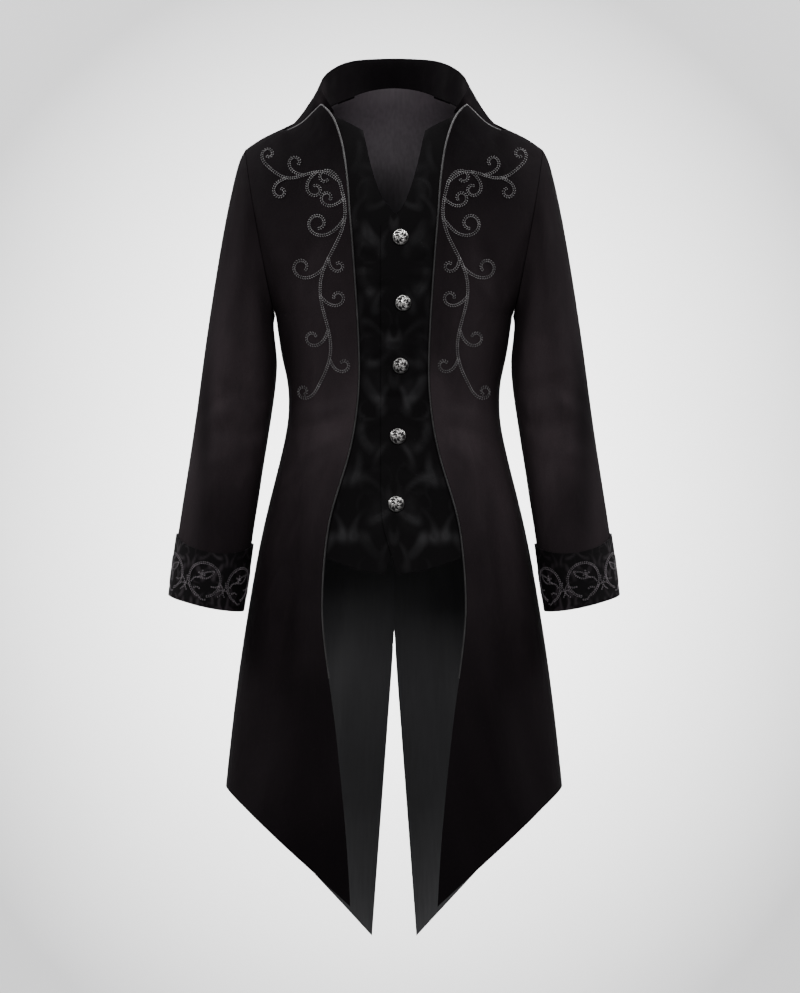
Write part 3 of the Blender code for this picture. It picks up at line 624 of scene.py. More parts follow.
def add_values(thing, name, values):
    layer = thing.data.attributes.new(name, "FLOAT", "POINT")
    layer.data.foreach_set("value", np.asarray(values, dtype=np.float32))


def patch_gain(points, patches):
    """What the listed soft patches of painted light and shade, the same on both sides, add at each point."""
    total = np.zeros(len(points))
    for patch in patches:
        aside = (np.abs(points[:, 0]) - patch.across) / patch.wide
        rise = (points[:, 2] - patch.up) / patch.high
        total += patch.gain * np.exp(-aside ** 2 - rise ** 2)
    return total


def paint_light_patches(thing, patches):
    """Painted light and shade on the cloth at each point: 1, more or less in its patches."""
    add_values(thing, "nap_and_painted_light", np.maximum(1.0 + patch_gain(points_of(thing.data), patches), 0.0))


def open_front(thing):
    """Draws a front's edge a little further open."""
    points = points_of(thing.data)
    edge = np.interp(points[:, 2], FRONT_EDGE_Z, FRONT_EDGE_X)
    near = np.exp(-(((np.abs(points[:, 0]) - edge) / OPENING_REACH) ** 2))
    shifts = np.zeros(points.shape)
    shifts[:, 0] = np.interp(points[:, 2], OPENING_Z, OPENING_X) * near * np.sign(points[:, 0])
    move_points(thing, shifts)


def close_seam(thing, axis, top):
    """Laps a piece's edge over its neighbour's, on the seam where the axis is 0."""
    points = points_of(thing.data)
    by_seam = (np.abs(points[:, axis]) < SEAM_WIDTH) & (points[:, 2] < top)
    side = np.sign(points[:, axis].mean())
    shifts = np.zeros(points.shape)
    shifts[by_seam, axis] = -points[by_seam, axis] - side * SEAM_LAP
    move_points(thing, shifts)


def close_neck_seam(collar, necklines):
    """Lowers the foot of the collar's stand over the neckline, and draws it inwards to cover the seam."""
    points = points_of(collar.data)
    distances = np.array([necklines.find(Vector(point))[2] for point in points])
    near = 1.0 - smooth_step(NECK_NEAR, NECK_FAR, distances)
    near *= (points[:, 1] > FOOT_FRONT) & (points[:, 2] > FOOT_LOW) & (points[:, 2] < FOOT_TOP)
    near *= smooth_step(NECK_SIDE_START, NECK_SIDE_END, np.abs(points[:, 0]))
    shifts = np.zeros(points.shape)
    shifts[:, 2] = -near * NECK_DROP
    inwards = np.array(NECK_MIDDLE) - points[:, :2]
    inwards /= np.linalg.norm(inwards, axis=1)[:, None]
    shifts[:, :2] = inwards * (near * NECK_COVER)[:, None]
    move_points(collar, shifts)


def lift_lining(lining, neckline):
    """Draws the lining's top edge up over the neck seam, most at the centre back."""
    points = points_of(lining.data)
    distances = np.array([neckline.find(Vector(point))[2] for point in points])
    near = 1.0 - smooth_step(LINING_NEAR, LINING_FAR, distances)
    near *= np.maximum(1.0 - (points[:, 0] / LINING_HALF_WIDTH) ** 2, 0.0)
    shifts = np.zeros(points.shape)
    shifts[:, 2] = near * LINING_LIFT
    shifts[:, 1] = -near * LINING_COVER
    move_points(lining, shifts)


def lay_points_down(collar):
    """Lays the collar's points flat on the shoulders."""
    points = points_of(collar.data)
    shifts = np.zeros(points.shape)
    far = smooth_step(COLLAR_POINT_START, COLLAR_POINT_END, np.abs(points[:, 0]))
    shifts[:, 2] = -COLLAR_POINT_DROP * far
    shifts[:, 0] = -COLLAR_POINT_DRAW * far * np.sign(points[:, 0])
    move_points(collar, shifts)


def line_inside(thing, centre_at, outer, inner):
    """The lining's material on faces that look at the piece's middle, and the outer cloth's on the rest."""
    thing.data.materials.append(outer)
    thing.data.materials.append(inner)
    for face in thing.data.polygons:
        away = Vector(face.center) - centre_at(face.center)
        away.z = 0.0
        face.material_index = 1 if face.normal.dot(away.normalized()) < INSIDE_FACING else 0


def darken_neck_edge(thing, neckline):
    """Gives a piece's faces along the neck edge at the sides of the neck the dark velvet, as painted shade."""
    for face in thing.data.polygons:
        if abs(face.center.x) > NECK_SIDE_END and neckline.find(face.center)[2] < NECK_EDGE_DARK_REACH:
            face.material_index = 0


# Damask motif on one half of its repeat: leaves as an oval less another, and stems as parts of rings
Oval = namedtuple("Oval", "x z turn wide high")
Leaf = namedtuple("Leaf", "oval bite")
Stem = namedtuple("Stem", "oval thickness mask")
DAMASK_REPEAT = 0.216
DAMASK_WIDTH = 0.064
DAMASK_SOFTNESS = 0.46
DAMASK_STEM_SHARE = 0.5
CUFF_DAMASK_SCALE = 2.3
DAMASK_LEAVES = (
    Leaf(Oval(0.012, 0.026, 20, 0.009, 0.022), Oval(0.004, 0.033, 20, 0.007, 0.019)),
    Leaf(Oval(0.030, 0.040, -35, 0.010, 0.023), Oval(0.022, 0.047, -35, 0.007, 0.020)),
    Leaf(Oval(0.048, 0.070, 25, 0.010, 0.022), Oval(0.041, 0.074, 25, 0.008, 0.019)),
    Leaf(Oval(0.020, 0.086, 55, 0.009, 0.021), Oval(0.018, 0.094, 55, 0.007, 0.019)),
    Leaf(Oval(0.000, 0.112, 0, 0.011, 0.019), Oval(0.000, 0.124, 0, 0.005, 0.012)),
    Leaf(Oval(0.033, 0.124, -50, 0.011, 0.022), Oval(0.029, 0.116, -50, 0.008, 0.020)),
    Leaf(Oval(0.053, 0.148, 10, 0.009, 0.023), Oval(0.060, 0.152, 10, 0.007, 0.020)),
    Leaf(Oval(0.017, 0.164, 30, 0.009, 0.021), Oval(0.010, 0.168, 30, 0.007, 0.018)),
    Leaf(Oval(0.038, 0.190, -20, 0.010, 0.020), Oval(0.032, 0.196, -20, 0.007, 0.017)),
    Leaf(Oval(0.000, 0.056, 0, 0.007, 0.014), Oval(0.000, 0.068, 0, 0.004, 0.009)),
)
DAMASK_STEMS = (
    Stem(Oval(0.034, 0.098, 0, 0.017, 0.019), 0.13, Oval(0.046, 0.104, 0, 0.020, 0.017)),
    Stem(Oval(0.019, 0.136, 0, 0.015, 0.020), 0.13, Oval(0.008, 0.143, 0, 0.014, 0.021)),
    Stem(Oval(0.028, 0.014, 0, 0.021, 0.015), 0.13, Oval(0.040, 0.008, 0, 0.018, 0.019)),
)


def oval_distance(across, up, oval):
    """1 on the oval's outline, less inside it and more outside."""
    turn = math.radians(oval.turn)
    aside = across - oval.x
    rise = up - oval.z
    x = (aside * math.cos(turn) + rise * math.sin(turn)) / oval.wide
    z = (rise * math.cos(turn) - aside * math.sin(turn)) / oval.high
    return np.hypot(x, z)


def inside_oval(across, up, oval):
    return smooth_step(1.0 + DAMASK_SOFTNESS, 1.0 - DAMASK_SOFTNESS, oval_distance(across, up, oval))


def damask(across, up):
    """Mirrored leaf scrolls of a jacquard: 1 where the satin shows, at points of the flat cloth."""
    folded = DAMASK_WIDTH - np.abs(np.mod(across, 2 * DAMASK_WIDTH) - DAMASK_WIDTH)
    repeated = np.mod(up, DAMASK_REPEAT)
    pattern = np.zeros(len(across))
    for leaf in DAMASK_LEAVES:
        shape = inside_oval(folded, repeated, leaf.oval) * (1.0 - inside_oval(folded, repeated, leaf.bite))
        pattern = np.maximum(pattern, shape)
    for stem in DAMASK_STEMS:
        off = np.abs(oval_distance(folded, repeated, stem.oval) - 1.0)
        line = smooth_step(stem.thickness * 1.5, stem.thickness * 0.8, off)
        pattern = np.maximum(pattern, line * inside_oval(folded, repeated, stem.mask) * DAMASK_STEM_SHARE)
    return pattern


def body_centre(point):
    return Vector((point.x * 0.4, 0.0, point.z))


def sleeve_centre(point):
    x = float(np.interp(point.z, SLEEVE_LINE_Z, SLEEVE_LINE_X))
    y = float(np.interp(point.z, SLEEVE_LINE_Z, SLEEVE_LINE_Y))
    return Vector((math.copysign(x, point.x), y, point.z))


def finish_piece(thing, node):
    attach(thing, "root")
    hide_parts(node)


def make_body(velvet, lining):
    """Fronts, backs and their linings, with the piping carried along."""
    cloths = {}
    necklines = []
    for side in ("left", "right"):
        for half, creases in (("front", FRONT_CREASES), ("back", BACK_CREASES)):
            node = "%s_%s" % (half, side)
            thing, rims = subdivided_copy(node, 3 if half == "front" else 2)
            held = tree_of([point for point in rims if is_held(point)])
            shift_body_piece(thing, creases, held)
            if half == "front":
                open_front(thing)
            close_seam(thing, 1, ARMHOLE_LOW)
            paint_light_patches(thing, BODY_PAINTED_LIGHT)
            line_inside(thing, body_centre, velvet, lining)
            finish_piece(thing, node)
            cloths[node] = thing
            with_it = "lining_" + side if half == "back" else "piping_" + side
            follower, _ = subdivided_copy(with_it, 2)
            shift_body_piece(follower, creases, held)
            cloths[with_it] = follower
            if half == "front":
                open_front(follower)
            else:
                close_seam(thing, 0, NECK_TOP)
                close_seam(follower, 0, NECK_TOP)
                close_seam(follower, 1, ARMHOLE_LOW)
                neckline = [point for point in rims if point.z > NECKLINE_LOW and point.y > NECKLINE_FRONT]
                lift_lining(follower, tree_of(neckline))
                line_inside(follower, body_centre, velvet, lining)
                # Painted shade: dark velvet along the neck edge of the lining and the back.
                darken_neck_edge(follower, tree_of(neckline))
                darken_neck_edge(thing, tree_of(neckline))
                necklines.extend(neckline)
    return cloths, tree_of(necklines)


def make_sleeves(velvet, lining):
    cloths = {}
    for side, sign, lift in (("left", 1.0, 0.0), ("right", -1.0, RIGHT_SLEEVE_LIFT)):
        node = "sleeve_" + side
        thing, _ = subdivided_copy(node, 3)
        points = points_of(thing.data)
        middle = np.column_stack(
            (
                np.interp(points[:, 2], SLEEVE_LINE_Z, SLEEVE_LINE_X) * sign,
                np.interp(points[:, 2], SLEEVE_LINE_Z, SLEEVE_LINE_Y),
                points[:, 2],
            )
        )
        out = points - middle
        out /= np.maximum(np.linalg.norm(out, axis=1), MERGE_DISTANCE)[:, None]
        # Distance round the sleeve from its front, towards its outer side
        around = np.arctan2(out[:, 0] * sign, -out[:, 1]) * SLEEVE_RADIUS
        heights = np.zeros(len(points))
        circle = math.tau * SLEEVE_RADIUS
        for turn in (-circle, 0.0, circle):
            heights += relief(SLEEVE_CREASES, around + turn, points[:, 2] + lift)
        heights *= smooth_step(SLEEVE_HOLD_TOP, SLEEVE_FREE_TOP, points[:, 2])
        heights *= smooth_step(SLEEVE_HOLD_END, SLEEVE_FREE_END, points[:, 2])
        move_points(thing, out * heights[:, None])
        paint_light_patches(thing, SLEEVE_PAINTED_LIGHT)
        line_inside(thing, sleeve_centre, velvet, lining)
        finish_piece(thing, node)
        cloths[node] = thing
    return cloths


def make_vests(brocade, lining):
    cloths = {}
    for side in ("left", "right"):
        node = "vest_" + side
        thing, _ = subdivided_copy(node, 3, VEST_CREASE_ANGLE)
        points = points_of(thing.data)
        edge = np.interp(points[:, 2], FRONT_EDGE_Z, FRONT_EDGE_X)
        hidden = smooth_step(VEST_HIDDEN_START, VEST_HIDDEN_END, np.abs(points[:, 0]) - edge)
        heights = relief(VEST_CREASES, points[:, 0], points[:, 2]) - hidden * VEST_HIDDEN_DEPTH
        move_points(thing, body_outward(points) * heights[:, None])
        # Painted highlight: the listed patches brighten the satin leaves and add satin tone on the ground.
        painted_sheen = patch_gain(points, VEST_PAINTED_SHEEN)
        leaves = damask(points[:, 0], points[:, 2]) * VEST_LEAF_SHARE
        add_values(thing, "satin_and_painted_sheen", leaves * (VEST_LEAF_GROUND + painted_sheen) + VEST_PAINTED_SHEEN_SHARE * painted_sheen)
        line_inside(thing, body_centre, brocade, lining)
        finish_piece(thing, node)
        cloths[node] = thing
    return cloths


# Embroidery

def smooth_path(points, steps=8):
    """A smooth line through a few given points."""
    points = [Vector(point) for point in points]
    ends = [2 * points[0] - points[1]] + points + [2 * points[-1] - points[-2]]
    path = []
    for a, b, c, d in zip(ends, ends[1:], ends[2:], ends[3:]):
        for step in range(steps):
            t = step / steps
            square = (a * 2 - b * 5 + c * 4 - d) * t ** 2
            cube = (b * 3 - a - c * 3 + d) * t ** 3
            path.append((b * 2 + (c - a) * t + square + cube) / 2)
    return path + [points[-1]]


def spiral(middle, radius, start, turns, end_share, steps=28):
    """A curl that winds in from a circle: start in degrees, turns may be negative."""
    path = []
    for step in range(steps + 1):
        share = step / steps
        angle = math.radians(start) + share * turns * math.tau
        size = radius * (1.0 + (end_share - 1.0) * share)
        path.append(Vector((middle[0] + size * math.cos(angle), middle[1] + size * math.sin(angle))))
    return path


def evenly(path, pitch):
    """Points at an even pitch along a path."""
    spaced = [path[0]]
    left = pitch
    for start, end in zip(path, path[1:]):
        length = (end - start).length
        done = 0.0
        while length - done >= left:
            done += left
            spaced.append(start.lerp(end, done / length))
            left = pitch
        left -= length - done
    return spaced


# Chest scrolls on the wearer's right, in metres: stems that wave along a line, and shoots that wind in from them
Wave = namedtuple("Wave", "start end height waves")
Shoot = namedtuple("Shoot", "stem share lean length turns")
CHEST_WAVES = (
    Wave((-0.076, -0.098), (-0.106, -0.384), 0.0120, 1.5),
    Wave((-0.076, -0.098), (-0.174, -0.078), -0.0090, 1.0),
)
CHEST_SHOOTS = (
    Shoot(0, 1.00, 0, 0.066, -1.15),
    Shoot(0, 0.86, 34, 0.058, 0.90),
    Shoot(0, 0.72, -30, 0.070, -0.95),
    Shoot(0, 0.56, 34, 0.066, 0.95),
    Shoot(0, 0.42, -28, 0.092, -1.05),
    Shoot(0, 0.37, 34, 0.048, 0.90),
    Shoot(0, 0.17, -26, 0.115, -1.15),
    Shoot(0, 0.08, -58, 0.066, -1.00),
    Shoot(0, 0.00, -168, 0.058, 0.90),
    Shoot(1, 1.00, 0, 0.056, -1.00),
    Shoot(1, 0.74, 30, 0.060, 0.95),
    Shoot(1, 0.52, -32, 0.058, -0.90),
    Shoot(1, 0.34, 34, 0.070, 1.00),
)
STITCH_PITCH = 0.0031
STITCH_WIDTH = 0.0054
STITCH_THREAD = 0.00060
BEAD_REACH = 0.36
THREAD_SIDES = 5
# A stitch's thread: share of its length, and share of its full thickness
BEAD_SHAPE = ((0.0, 0.35), (0.2, 0.85), (0.5, 1.0), (0.8, 0.85), (1.0, 0.35))


def add_bead(work, start, end, out, thread):
    """One short length of thread lying on the cloth, thick in its middle."""
    along = (end - start).normalized()
    side = out.cross(along)
    rings = []
    for share, size in BEAD_SHAPE:
        centre = start.lerp(end, share) + out * thread * size * 0.8
        ring = []
        for turn in range(THREAD_SIDES):
            bend = math.tau * turn / THREAD_SIDES
            away = side * math.cos(bend) + out * math.sin(bend)
            ring.append(work.verts.new(centre + away * thread * size))
        rings.append(ring)
    for ring, following in zip(rings, rings[1:]):
        for turn in range(THREAD_SIDES):
            beside = (turn + 1) % THREAD_SIDES
            work.faces.new((ring[turn], ring[beside], following[beside], following[turn]))
    work.faces.new(reversed(rings[0]))
    work.faces.new(rings[-1])


def add_stitch(work, centre, along, out, pitch, width, thread):
    """One chain stitch: two threads that slant together from the line's edges to its middle."""
    side = out.cross(along).normalized()
    tip = along * pitch * BEAD_REACH
    for edge in (-1.0, 1.0):
        start = centre - tip + side * edge * (width / 2 - thread)
        add_bead(work, start, centre + tip + side * edge * thread, out, thread)


def surface_of(thing):
    work = bmesh.new()
    work.from_mesh(thing.data)
    tree = BVHTree.FromBMesh(work)
    work.free()
    return tree


def object_from(work, name, material):
    bmesh.ops.recalc_face_normals(work, faces=work.faces)
    mesh = bpy.data.meshes.new(name)
    work.to_mesh(mesh)
    work.free()
    mesh.shade_smooth()
    mesh.materials.append(material)
    thing = bpy.data.objects.new(name, mesh)
    bpy.context.scene.collection.objects.link(thing)
    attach(thing, "root")
    return thing


def stitch_path(work, path, find, pitch, width, thread):
    """Chain stitches along a path, each laid on the surface that find gives."""
    places = [find(point) for point in evenly(path, pitch)]
    places = [place for place in places if place is not None]
    for index, (spot, out) in enumerate(places):
        before = places[max(index - 1, 0)][0]
        after = places[min(index + 1, len(places) - 1)][0]
        along = after - before
        if along.length > pitch / 4:
            along = (along - out * along.dot(out)).normalized()
            add_stitch(work, spot, along, out, pitch, width, thread)


def wave_path(wave, steps=64):
    """A stem that waves about the straight line from its start to its end."""
    start = Vector(wave.start)
    along = Vector(wave.end) - start
    across = Vector((-along.y, along.x)).normalized()
    return [
        start + along * step / steps + across * wave.height * math.sin(math.tau * wave.waves * step / steps)
        for step in range(steps + 1)
    ]


def shoot_path(stem, shoot, steps=48):
    """A shoot that leaves its stem at a lean and bends evenly tighter, so that it winds in to a curl."""
    index = min(round(shoot.share * (len(stem) - 1)), len(stem) - 2)
    root = stem[index + 1] if shoot.share == 1.0 else stem[index]
    toward = stem[index + 1] - stem[index]
    heading = math.atan2(toward.y, toward.x) + math.radians(shoot.lean)
    path = [root.copy()]
    for step in range(steps):
        share = (step + 0.5) / steps
        angle = heading + shoot.turns * math.tau * share ** 2
        path.append(path[-1] + Vector((math.cos(angle), math.sin(angle))) * shoot.length / steps)
    return path


def chest_paths():
    stems = [wave_path(wave) for wave in CHEST_WAVES]
    return stems + [shoot_path(stems[shoot.stem], shoot) for shoot in CHEST_SHOOTS]


def make_chest_embroidery(cloths, thread):
    paths = chest_paths()
    for side, sign in (("right", 1.0), ("left", -1.0)):
        surface = surface_of(cloths["front_" + side])
        eye = Vector((CAMERA_PLACE.x * sign, CAMERA_PLACE.y, CAMERA_PLACE.z))

        def find(point):
            aim = Vector((point.x * sign, 0.0, point.y)) - eye
            spot, out, _, _ = surface.ray_cast(eye, aim.normalized())
            if spot is None:
                return None
            return spot, (out if out.y < 0.0 else -out)

        work = bmesh.new()
        for path in paths:
            stitch_path(work, path, find, STITCH_PITCH, STITCH_WIDTH, STITCH_THREAD)
        name = "chest_embroidery_" + side
        cloths[name] = object_from(work, name, thread)


# Cuffs

CUFF_RINGS = 6
CUFF_FIRST_RING = 85
CUFF_RADIUS = 0.0555
RING_SIZE = 0.0238
RING_HEIGHT = 0.0370
CUFF_LOW = -0.685
CUFF_LOW_SLANT = 0.011
CUFF_LOW_TILT = 0.006
CUFF_TOP = -0.597
CUFF_TOP_SLANT = 0.007
CUFF_FRONT_DIP = 0.018
CUFF_PITCH = 0.0029
CUFF_MARGIN = 0.04
CUFF_RAY = 0.12
# Width of the line and radius of its thread: on the rings, inside them and between them
RING_LINE = (0.0042, 0.00046)
INNER_LINE = (0.0024, 0.00036)
JOINT_LINE = (0.0018, 0.00028)
JOINT_SCALE = 0.75
# Work inside and between the rings, measured from a ring's middle and from a joint between two rings
RING_WORK = (
    ((-0.019, -0.005), (-0.015, 0.0005), (-0.009, 0.0020), (-0.004, 0.007)),
    ((-0.009, 0.002), (0.001, 0.002), (0.009, 0.007), (0.0125, 0.0140)),
    ((-0.004, 0.007), (0.002, 0.011), (0.0125, 0.0140)),
    ((-0.004, 0.012), (-0.004, 0.007), (-0.0045, 0.003)),
    ((-0.009, 0.0085), (-0.004, 0.007), (0.000, 0.006)),
    ((0.022, -0.005), (0.017, -0.0075), (0.011, -0.0075)),
    ((-0.006, -0.023), (-0.001, -0.027), (0.006, -0.026)),
    ((-0.014, -0.013), (-0.009, -0.0115), (-0.004, -0.014)),
)
JOINT_WORK = (
    ((0.000, -0.014), (-0.004, -0.006), (-0.010, -0.001)),
    ((0.000, -0.014), (-0.007, -0.014), (-0.013, -0.018)),
    ((0.000, -0.014), (-0.003, -0.021), (-0.009, -0.026)),
    ((0.000, -0.014), (0.004, -0.007), (0.003, 0.001)),
    ((0.000, -0.014), (0.007, -0.014), (0.012, -0.019)),
    ((0.000, -0.014), (0.002, -0.022), (0.007, -0.027)),
)


def cuff_height(angle, share):
    """Height on the cuff at a share of the way up from its lower edge."""
    low = CUFF_LOW + CUFF_LOW_SLANT * math.cos(angle) - CUFF_LOW_TILT * math.sin(angle)
    top = CUFF_TOP + CUFF_TOP_SLANT * math.cos(angle) - CUFF_FRONT_DIP * max(math.sin(angle), 0.0) ** 2
    return low + (top - low) * share


def cuff_paths():
    """Ring scrolls with an inner hook and leaves, repeated round the cuff, each path with its line."""
    pitch = math.tau * CUFF_RADIUS / CUFF_RINGS
    paths = []
    for ring in range(CUFF_RINGS):
        middle = Vector((ring * pitch, RING_HEIGHT))
        joint = Vector((pitch / 2, 0.0))
        paths.append((spiral(middle, RING_SIZE, 250, -0.92, 0.94, 40), RING_LINE))
        for work in RING_WORK:
            paths.append((smooth_path([middle + Vector(point) for point in work], 5), INNER_LINE))
        for work in JOINT_WORK:
            spray = [middle + joint + Vector(point) * JOINT_SCALE for point in work]
            paths.append((smooth_path(spray, 5), JOINT_LINE))
    return paths


def make_cuffs(brocade, lining, thread, cloths):
    for side, sign in (("left", 1.0), ("right", -1.0)):
        node = "cuff_" + side
        thing, _ = subdivided_copy(node, 3)
        points = points_of(thing.data)
        aside = points[:, 0] * sign - np.interp(points[:, 2], SLEEVE_LINE_Z, SLEEVE_LINE_X)
        forward = np.interp(points[:, 2], SLEEVE_LINE_Z, SLEEVE_LINE_Y) - points[:, 1]
        around = np.arctan2(aside, forward) * CUFF_RADIUS
        add_values(thing, "satin_and_painted_sheen", damask(around * CUFF_DAMASK_SCALE, points[:, 2] * CUFF_DAMASK_SCALE))
        line_inside(thing, sleeve_centre, brocade, lining)
        finish_piece(thing, node)
        cloths[node] = thing
        surface = surface_of(thing)

        def find(point):
            angle = point.x / CUFF_RADIUS + math.radians(CUFF_FIRST_RING)
            share = point.y / (cuff_height(angle, 1.0) - cuff_height(angle, 0.0))
            if not CUFF_MARGIN < share < 1.0 - CUFF_MARGIN:
                return None
            z = cuff_height(angle, share)
            centre = sleeve_centre(Vector((sign, 0.0, z)))
            away = Vector((math.cos(angle) * sign, -math.sin(angle), 0.0))
            spot, out, _, _ = surface.ray_cast(centre + away * CUFF_RAY, -away)
            if spot is None:
                return None
            return spot, (out if out.dot(away) > 0.0 else -out)

        work = bmesh.new()
        for path, (width, cord) in cuff_paths():
            stitch_path(work, path, find, CUFF_PITCH, width, cord)
        name = "cuff_embroidery_" + side
        cloths[name] = object_from(work, name, thread)


# Buttons

BUTTON_RADIUS = 0.0110
BUTTON_RINGS = 30
BUTTON_TURNS = 96
BUTTON_DOME = 0.0050
BUTTON_RIM = 0.0030
# Painted light: the side of each button towards which its raised work is lighter
BUTTON_PAINTED_LIGHT_ANGLE = math.radians(130)


def button_height(share, angle):
    """Height over the rim's foot and how far the work is raised, from the middle out; the raised share also
    carries painted light towards one upper side.
    """
    dome = BUTTON_DOME * (1.0 - share ** 2.4)
    arms = 0.30 * math.sin(3 * angle + 6.5 * share)
    buds = 0.28 * math.cos(7 * angle - 11.0 * share + 0.8)
    scroll = 0.5 + arms + buds
    worked = smooth_step(0.30, 0.72, scroll) * (1.0 - share ** 7)
    heart = math.exp(-((share / 0.20) ** 2))
    rim = math.exp(-(((share - 0.93) / 0.05) ** 2)) * 0.45
    # Painted light: the raised share grows towards one upper side.
    light = 0.75 + 0.40 * share * math.cos(angle - BUTTON_PAINTED_LIGHT_ANGLE)
    raised = float(min((worked + 0.6 * heart + rim) * light, 1.0))
    return dome + 0.0015 * raised, raised


def make_button(node, cloth_shift, silver):
    """A domed button with a beaded rim and a turned rosette, square to its solid's own axis."""
    points = points_of(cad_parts[node].data)
    centre = points.mean(axis=0)
    _, _, axes = np.linalg.svd(points - centre, full_matrices=False)
    out = Vector(axes[2])
    if out.y > 0.0:
        out = -out
    depth = (points - centre) @ np.array(out)
    centre = Vector(centre) + out * float(depth.min())
    centre = centre + Vector((0.0, -1.0, 0.0)) * cloth_shift(centre)
    side = Vector((0.0, 0.0, 1.0)).cross(out).normalized()
    up = out.cross(side)
    work = bmesh.new()
    heights = []
    rings = []
    outline = [(0.32, 0.0), (0.34, 0.0012), (0.88, 0.0016), (1.0, 0.0023), (1.0, BUTTON_RIM)]
    for radius, height in outline:
        rings.append([])
        for turn in range(BUTTON_TURNS):
            angle = math.tau * turn / BUTTON_TURNS
            flat = (side * math.cos(angle) + up * math.sin(angle)) * BUTTON_RADIUS * radius
            rings[-1].append(work.verts.new(centre + flat + out * height))
            heights.append(0.35)
    for ring in range(BUTTON_RINGS - 1, 0, -1):
        share = ring / BUTTON_RINGS
        rings.append([])
        for turn in range(BUTTON_TURNS):
            angle = math.tau * turn / BUTTON_TURNS
            height, raised = button_height(share, angle)
            flat = (side * math.cos(angle) + up * math.sin(angle)) * BUTTON_RADIUS * share
            rings[-1].append(work.verts.new(centre + flat + out * (BUTTON_RIM + height)))
            heights.append(raised)
    for ring, following in zip(rings, rings[1:]):
        for turn in range(BUTTON_TURNS):
            beside = (turn + 1) % BUTTON_TURNS
            work.faces.new((ring[turn], ring[beside], following[beside], following[turn]))
    work.faces.new(rings[0])
    work.faces.new(rings[-1])
    thing = object_from(work, node + "_silver", silver)
    add_values(thing, "raised", heights)
    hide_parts(node)


def vest_shift(point):
    return float(relief(VEST_CREASES, np.array([point.x]), np.array([point.z]))[0])


# Stage, camera and light

def show_front_only(material, shader):
    """Leaves the paper's back clear, so the coat can be seen from behind it."""
    behind = add_node(material, "ShaderNodeNewGeometry", {}, {}).outputs["Backfacing"]
    clear = add_node(material, "ShaderNodeBsdfTransparent", {}, {}).outputs["BSDF"]
    mixed = add_node(material, "ShaderNodeMixShader", {}, {0: behind, 1: shader.outputs["BSDF"], 2: clear})
    output = material.node_tree.nodes["Material Output"]
    join(material, mixed.outputs["Shader"], output, "Surface")


def make_stage():
    """A pale floor that bends up into a backdrop, with painted shade that makes it a little darker towards its
    corners.
    """
    profile = [(FLOOR_FRONT, FLOOR_Z), (BEND_START, FLOOR_Z)]
    for step in range(1, BEND_STEPS + 1):
        angle = math.pi / 2 * step / BEND_STEPS
        back = BEND_START + BEND_RADIUS * math.sin(angle)
        profile.append((back, FLOOR_Z + BEND_RADIUS * (1.0 - math.cos(angle))))
    profile.append((BEND_START + BEND_RADIUS, BACKDROP_TOP))
    mesh = bpy.data.meshes.new("backdrop")
    points = [(x, y, z) for y, z in profile for x in (-BACKDROP_HALF_WIDTH, BACKDROP_HALF_WIDTH)]
    faces = [(2 * i, 2 * i + 1, 2 * i + 3, 2 * i + 2) for i in range(len(profile) - 1)]
    mesh.from_pydata(points, [], faces)
    mesh.shade_smooth()
    material, shader, place = new_material("paper", {"Roughness": 1.0, "Specular IOR Level": 0.0})
    grain = noise(material, place, 3.0, 2.0)
    # Painted shade: the paper darkens away from a middle behind the coat.
    from_middle = add_node(
        material,
        "ShaderNodeMapping",
        {"vector_type": "TEXTURE"},
        {"Vector": place, "Location": (0.0, 0.0, -0.56), "Scale": (0.92, 50.0, 1.02)},
    )
    distance = add_node(
        material, "ShaderNodeVectorMath", {"operation": "LENGTH"}, {0: from_middle.outputs["Vector"]}
    ).outputs["Value"]
    share = between(material, distance, 0.12, 1.12)
    share = math_node(material, "MULTIPLY_ADD", grain, 0.02, share)
    level_place = add_node(material, "ShaderNodeMapping", {}, {"Vector": place, "Scale": (1.0, 1.0, 0.0)})
    far = add_node(
        material, "ShaderNodeVectorMath", {"operation": "LENGTH"}, {0: level_place.outputs["Vector"]}
    ).outputs["Value"]
    share = math_node(material, "MULTIPLY", share, between(material, far, 5.0, 9.0, 1.0, 0.0))
    colour = blend_colours(material, share, (0.95, 0.95, 0.95, 1.0), (0.222, 0.222, 0.224, 1.0))
    join(material, colour, shader, "Base Color")
    show_front_only(material, shader)
    mesh.materials.append(material)
    thing = bpy.data.objects.new("backdrop", mesh)
    bpy.context.scene.collection.objects.link(thing)


def add_light(name, place, target, size, power):
    light = bpy.data.lights.new(name, "AREA")
    light.shape = "SQUARE"
    light.size = size
    light.energy = power
    lamp = bpy.data.objects.new(name, light)
    lamp.location = place
    lamp.rotation_euler = (Vector(target) - Vector(place)).to_track_quat("-Z", "Y").to_euler()
    bpy.context.scene.collection.objects.link(lamp)


def make_lights():
    add_light("key", (-1.7, -5.0, 1.6), (0.0, 0.0, -0.5), 2.2, 340.0)
    add_light("fill", (1.9, -4.9, 1.0), (0.0, 0.0, -0.6), 2.4, 280.0)
    add_light("top", (0.0, -0.6, 3.4), (0.0, 0.2, -0.5), 2.2, 160.0)
    add_light("paper_left", (-2.2, 0.5, 1.4), (0.0, 3.0, -0.6), 1.2, 420.0)
    add_light("paper_right", (2.2, 0.5, 1.4), (0.0, 3.0, -0.6), 1.2, 420.0)
    world = bpy.data.worlds.new("studio")
    world.use_nodes = True
    world.node_tree.nodes["Background"].inputs["Color"].default_value = (1.0, 1.0, 1.0, 1.0)
    world.node_tree.nodes["Background"].inputs["Strength"].default_value = 0.35
    bpy.context.scene.world = world


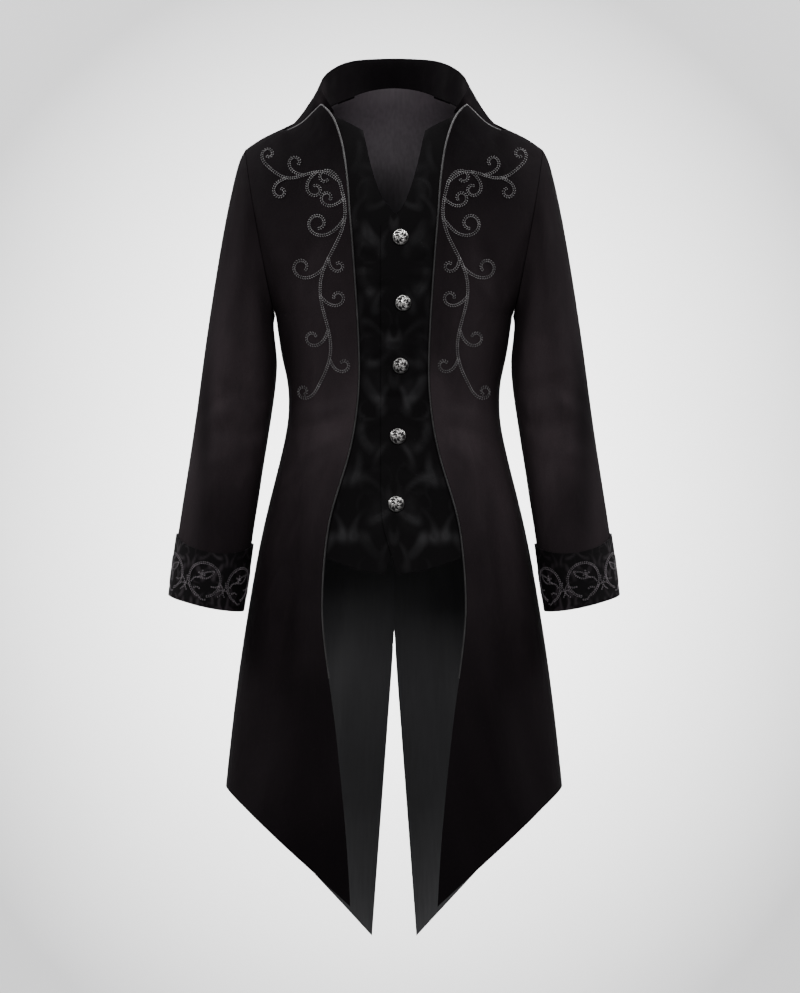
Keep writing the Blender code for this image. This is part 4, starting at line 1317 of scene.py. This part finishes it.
def make_camera():
    data = bpy.data.cameras.new("camera")
    data.sensor_width = CAMERA_SENSOR
    data.lens = CAMERA_SENSOR * -CAMERA_PLACE.y / VIEW_HEIGHT
    camera = bpy.data.objects.new("camera", data)
    camera.location = CAMERA_PLACE
    camera.rotation_euler = (math.pi / 2, 0.0, 0.0)
    bpy.context.scene.collection.objects.link(camera)
    bpy.context.scene.camera = camera


# Each cloth piece as cut flat: width, length, area, and what it is sewn to
Cut = namedtuple("Cut", "node width length area sewn_to")
CUTS = (
    Cut("back_left", 0.31, 1.25, 0.262, ("collar", "back_right")),
    Cut("back_right", 0.31, 1.25, 0.262, ("collar", "back_left")),
    Cut("lining_left", 0.31, 1.25, 0.258, ("back_left",)),
    Cut("lining_right", 0.31, 1.25, 0.258, ("back_right",)),
    Cut("front_left", 0.26, 1.13, 0.174, ("back_left", "collar")),
    Cut("front_right", 0.26, 1.13, 0.174, ("back_right", "collar")),
    Cut("piping_left", 0.010, 0.83, 0.004, ("front_left",)),
    Cut("piping_right", 0.010, 0.83, 0.004, ("front_right",)),
    Cut("sleeve_left", 0.38, 0.67, 0.188, ("front_left", "back_left")),
    Cut("sleeve_right", 0.38, 0.67, 0.188, ("front_right", "back_right")),
    Cut("cuff_left", 0.36, 0.11, 0.030, ("sleeve_left",)),
    Cut("cuff_right", 0.36, 0.11, 0.030, ("sleeve_right",)),
    Cut("collar", 0.60, 0.13, 0.045, ("back_left", "back_right")),
    Cut("vest_left", 0.17, 0.66, 0.086, ("front_left",)),
    Cut("vest_right", 0.17, 0.66, 0.086, ("front_right",)),
)


def declare_cloth(cloths):
    for cut in CUTS:
        for kind, work in (("front", "chest_embroidery"), ("cuff", "cuff_embroidery")):
            if cut.node.startswith(kind):
                cloths[cut.node.replace(kind, work)]
        [cloths[other] for other in cut.sewn_to]


def main():
    velvet = velvet_material()
    lining = lining_material()
    vest_brocade = brocade_material("vest_brocade", (0.0068, 0.0065, 0.0073))
    cuff_brocade = brocade_material("cuff_brocade", (0.0085, 0.0066, 0.0080))
    piping = piping_material()
    chest_thread = thread_material("chest_thread", (0.014, 0.0135, 0.014), (0.098, 0.094, 0.096))
    cuff_thread = thread_material("cuff_thread", (0.014, 0.0120, 0.0135), (0.085, 0.074, 0.082))
    silver = silver_material()

    cloths, necklines = make_body(velvet, lining)
    for side in ("left", "right"):
        node = "lining_" + side
        finish_piece(cloths[node], node)
        node = "piping_" + side
        cloths[node].data.materials.append(piping)
        finish_piece(cloths[node], node)
    cloths.update(make_sleeves(velvet, lining))
    cloths.update(make_vests(vest_brocade, lining))
    collar, _ = subdivided_copy("collar", 3)
    collar.data.materials.append(velvet)
    close_neck_seam(collar, necklines)
    lay_points_down(collar)
    paint_light_patches(collar, COLLAR_PAINTED_HIGHLIGHT)
    finish_piece(collar, "collar")
    cloths["collar"] = collar
    make_cuffs(cuff_brocade, lining, cuff_thread, cloths)
    make_chest_embroidery(cloths, chest_thread)
    declare_cloth(cloths)
    for number in range(1, 6):
        make_button("button_%d" % number, vest_shift, silver)
    make_stage()
    make_lights()
    make_camera()
    bpy.context.view_layer.update()


main()
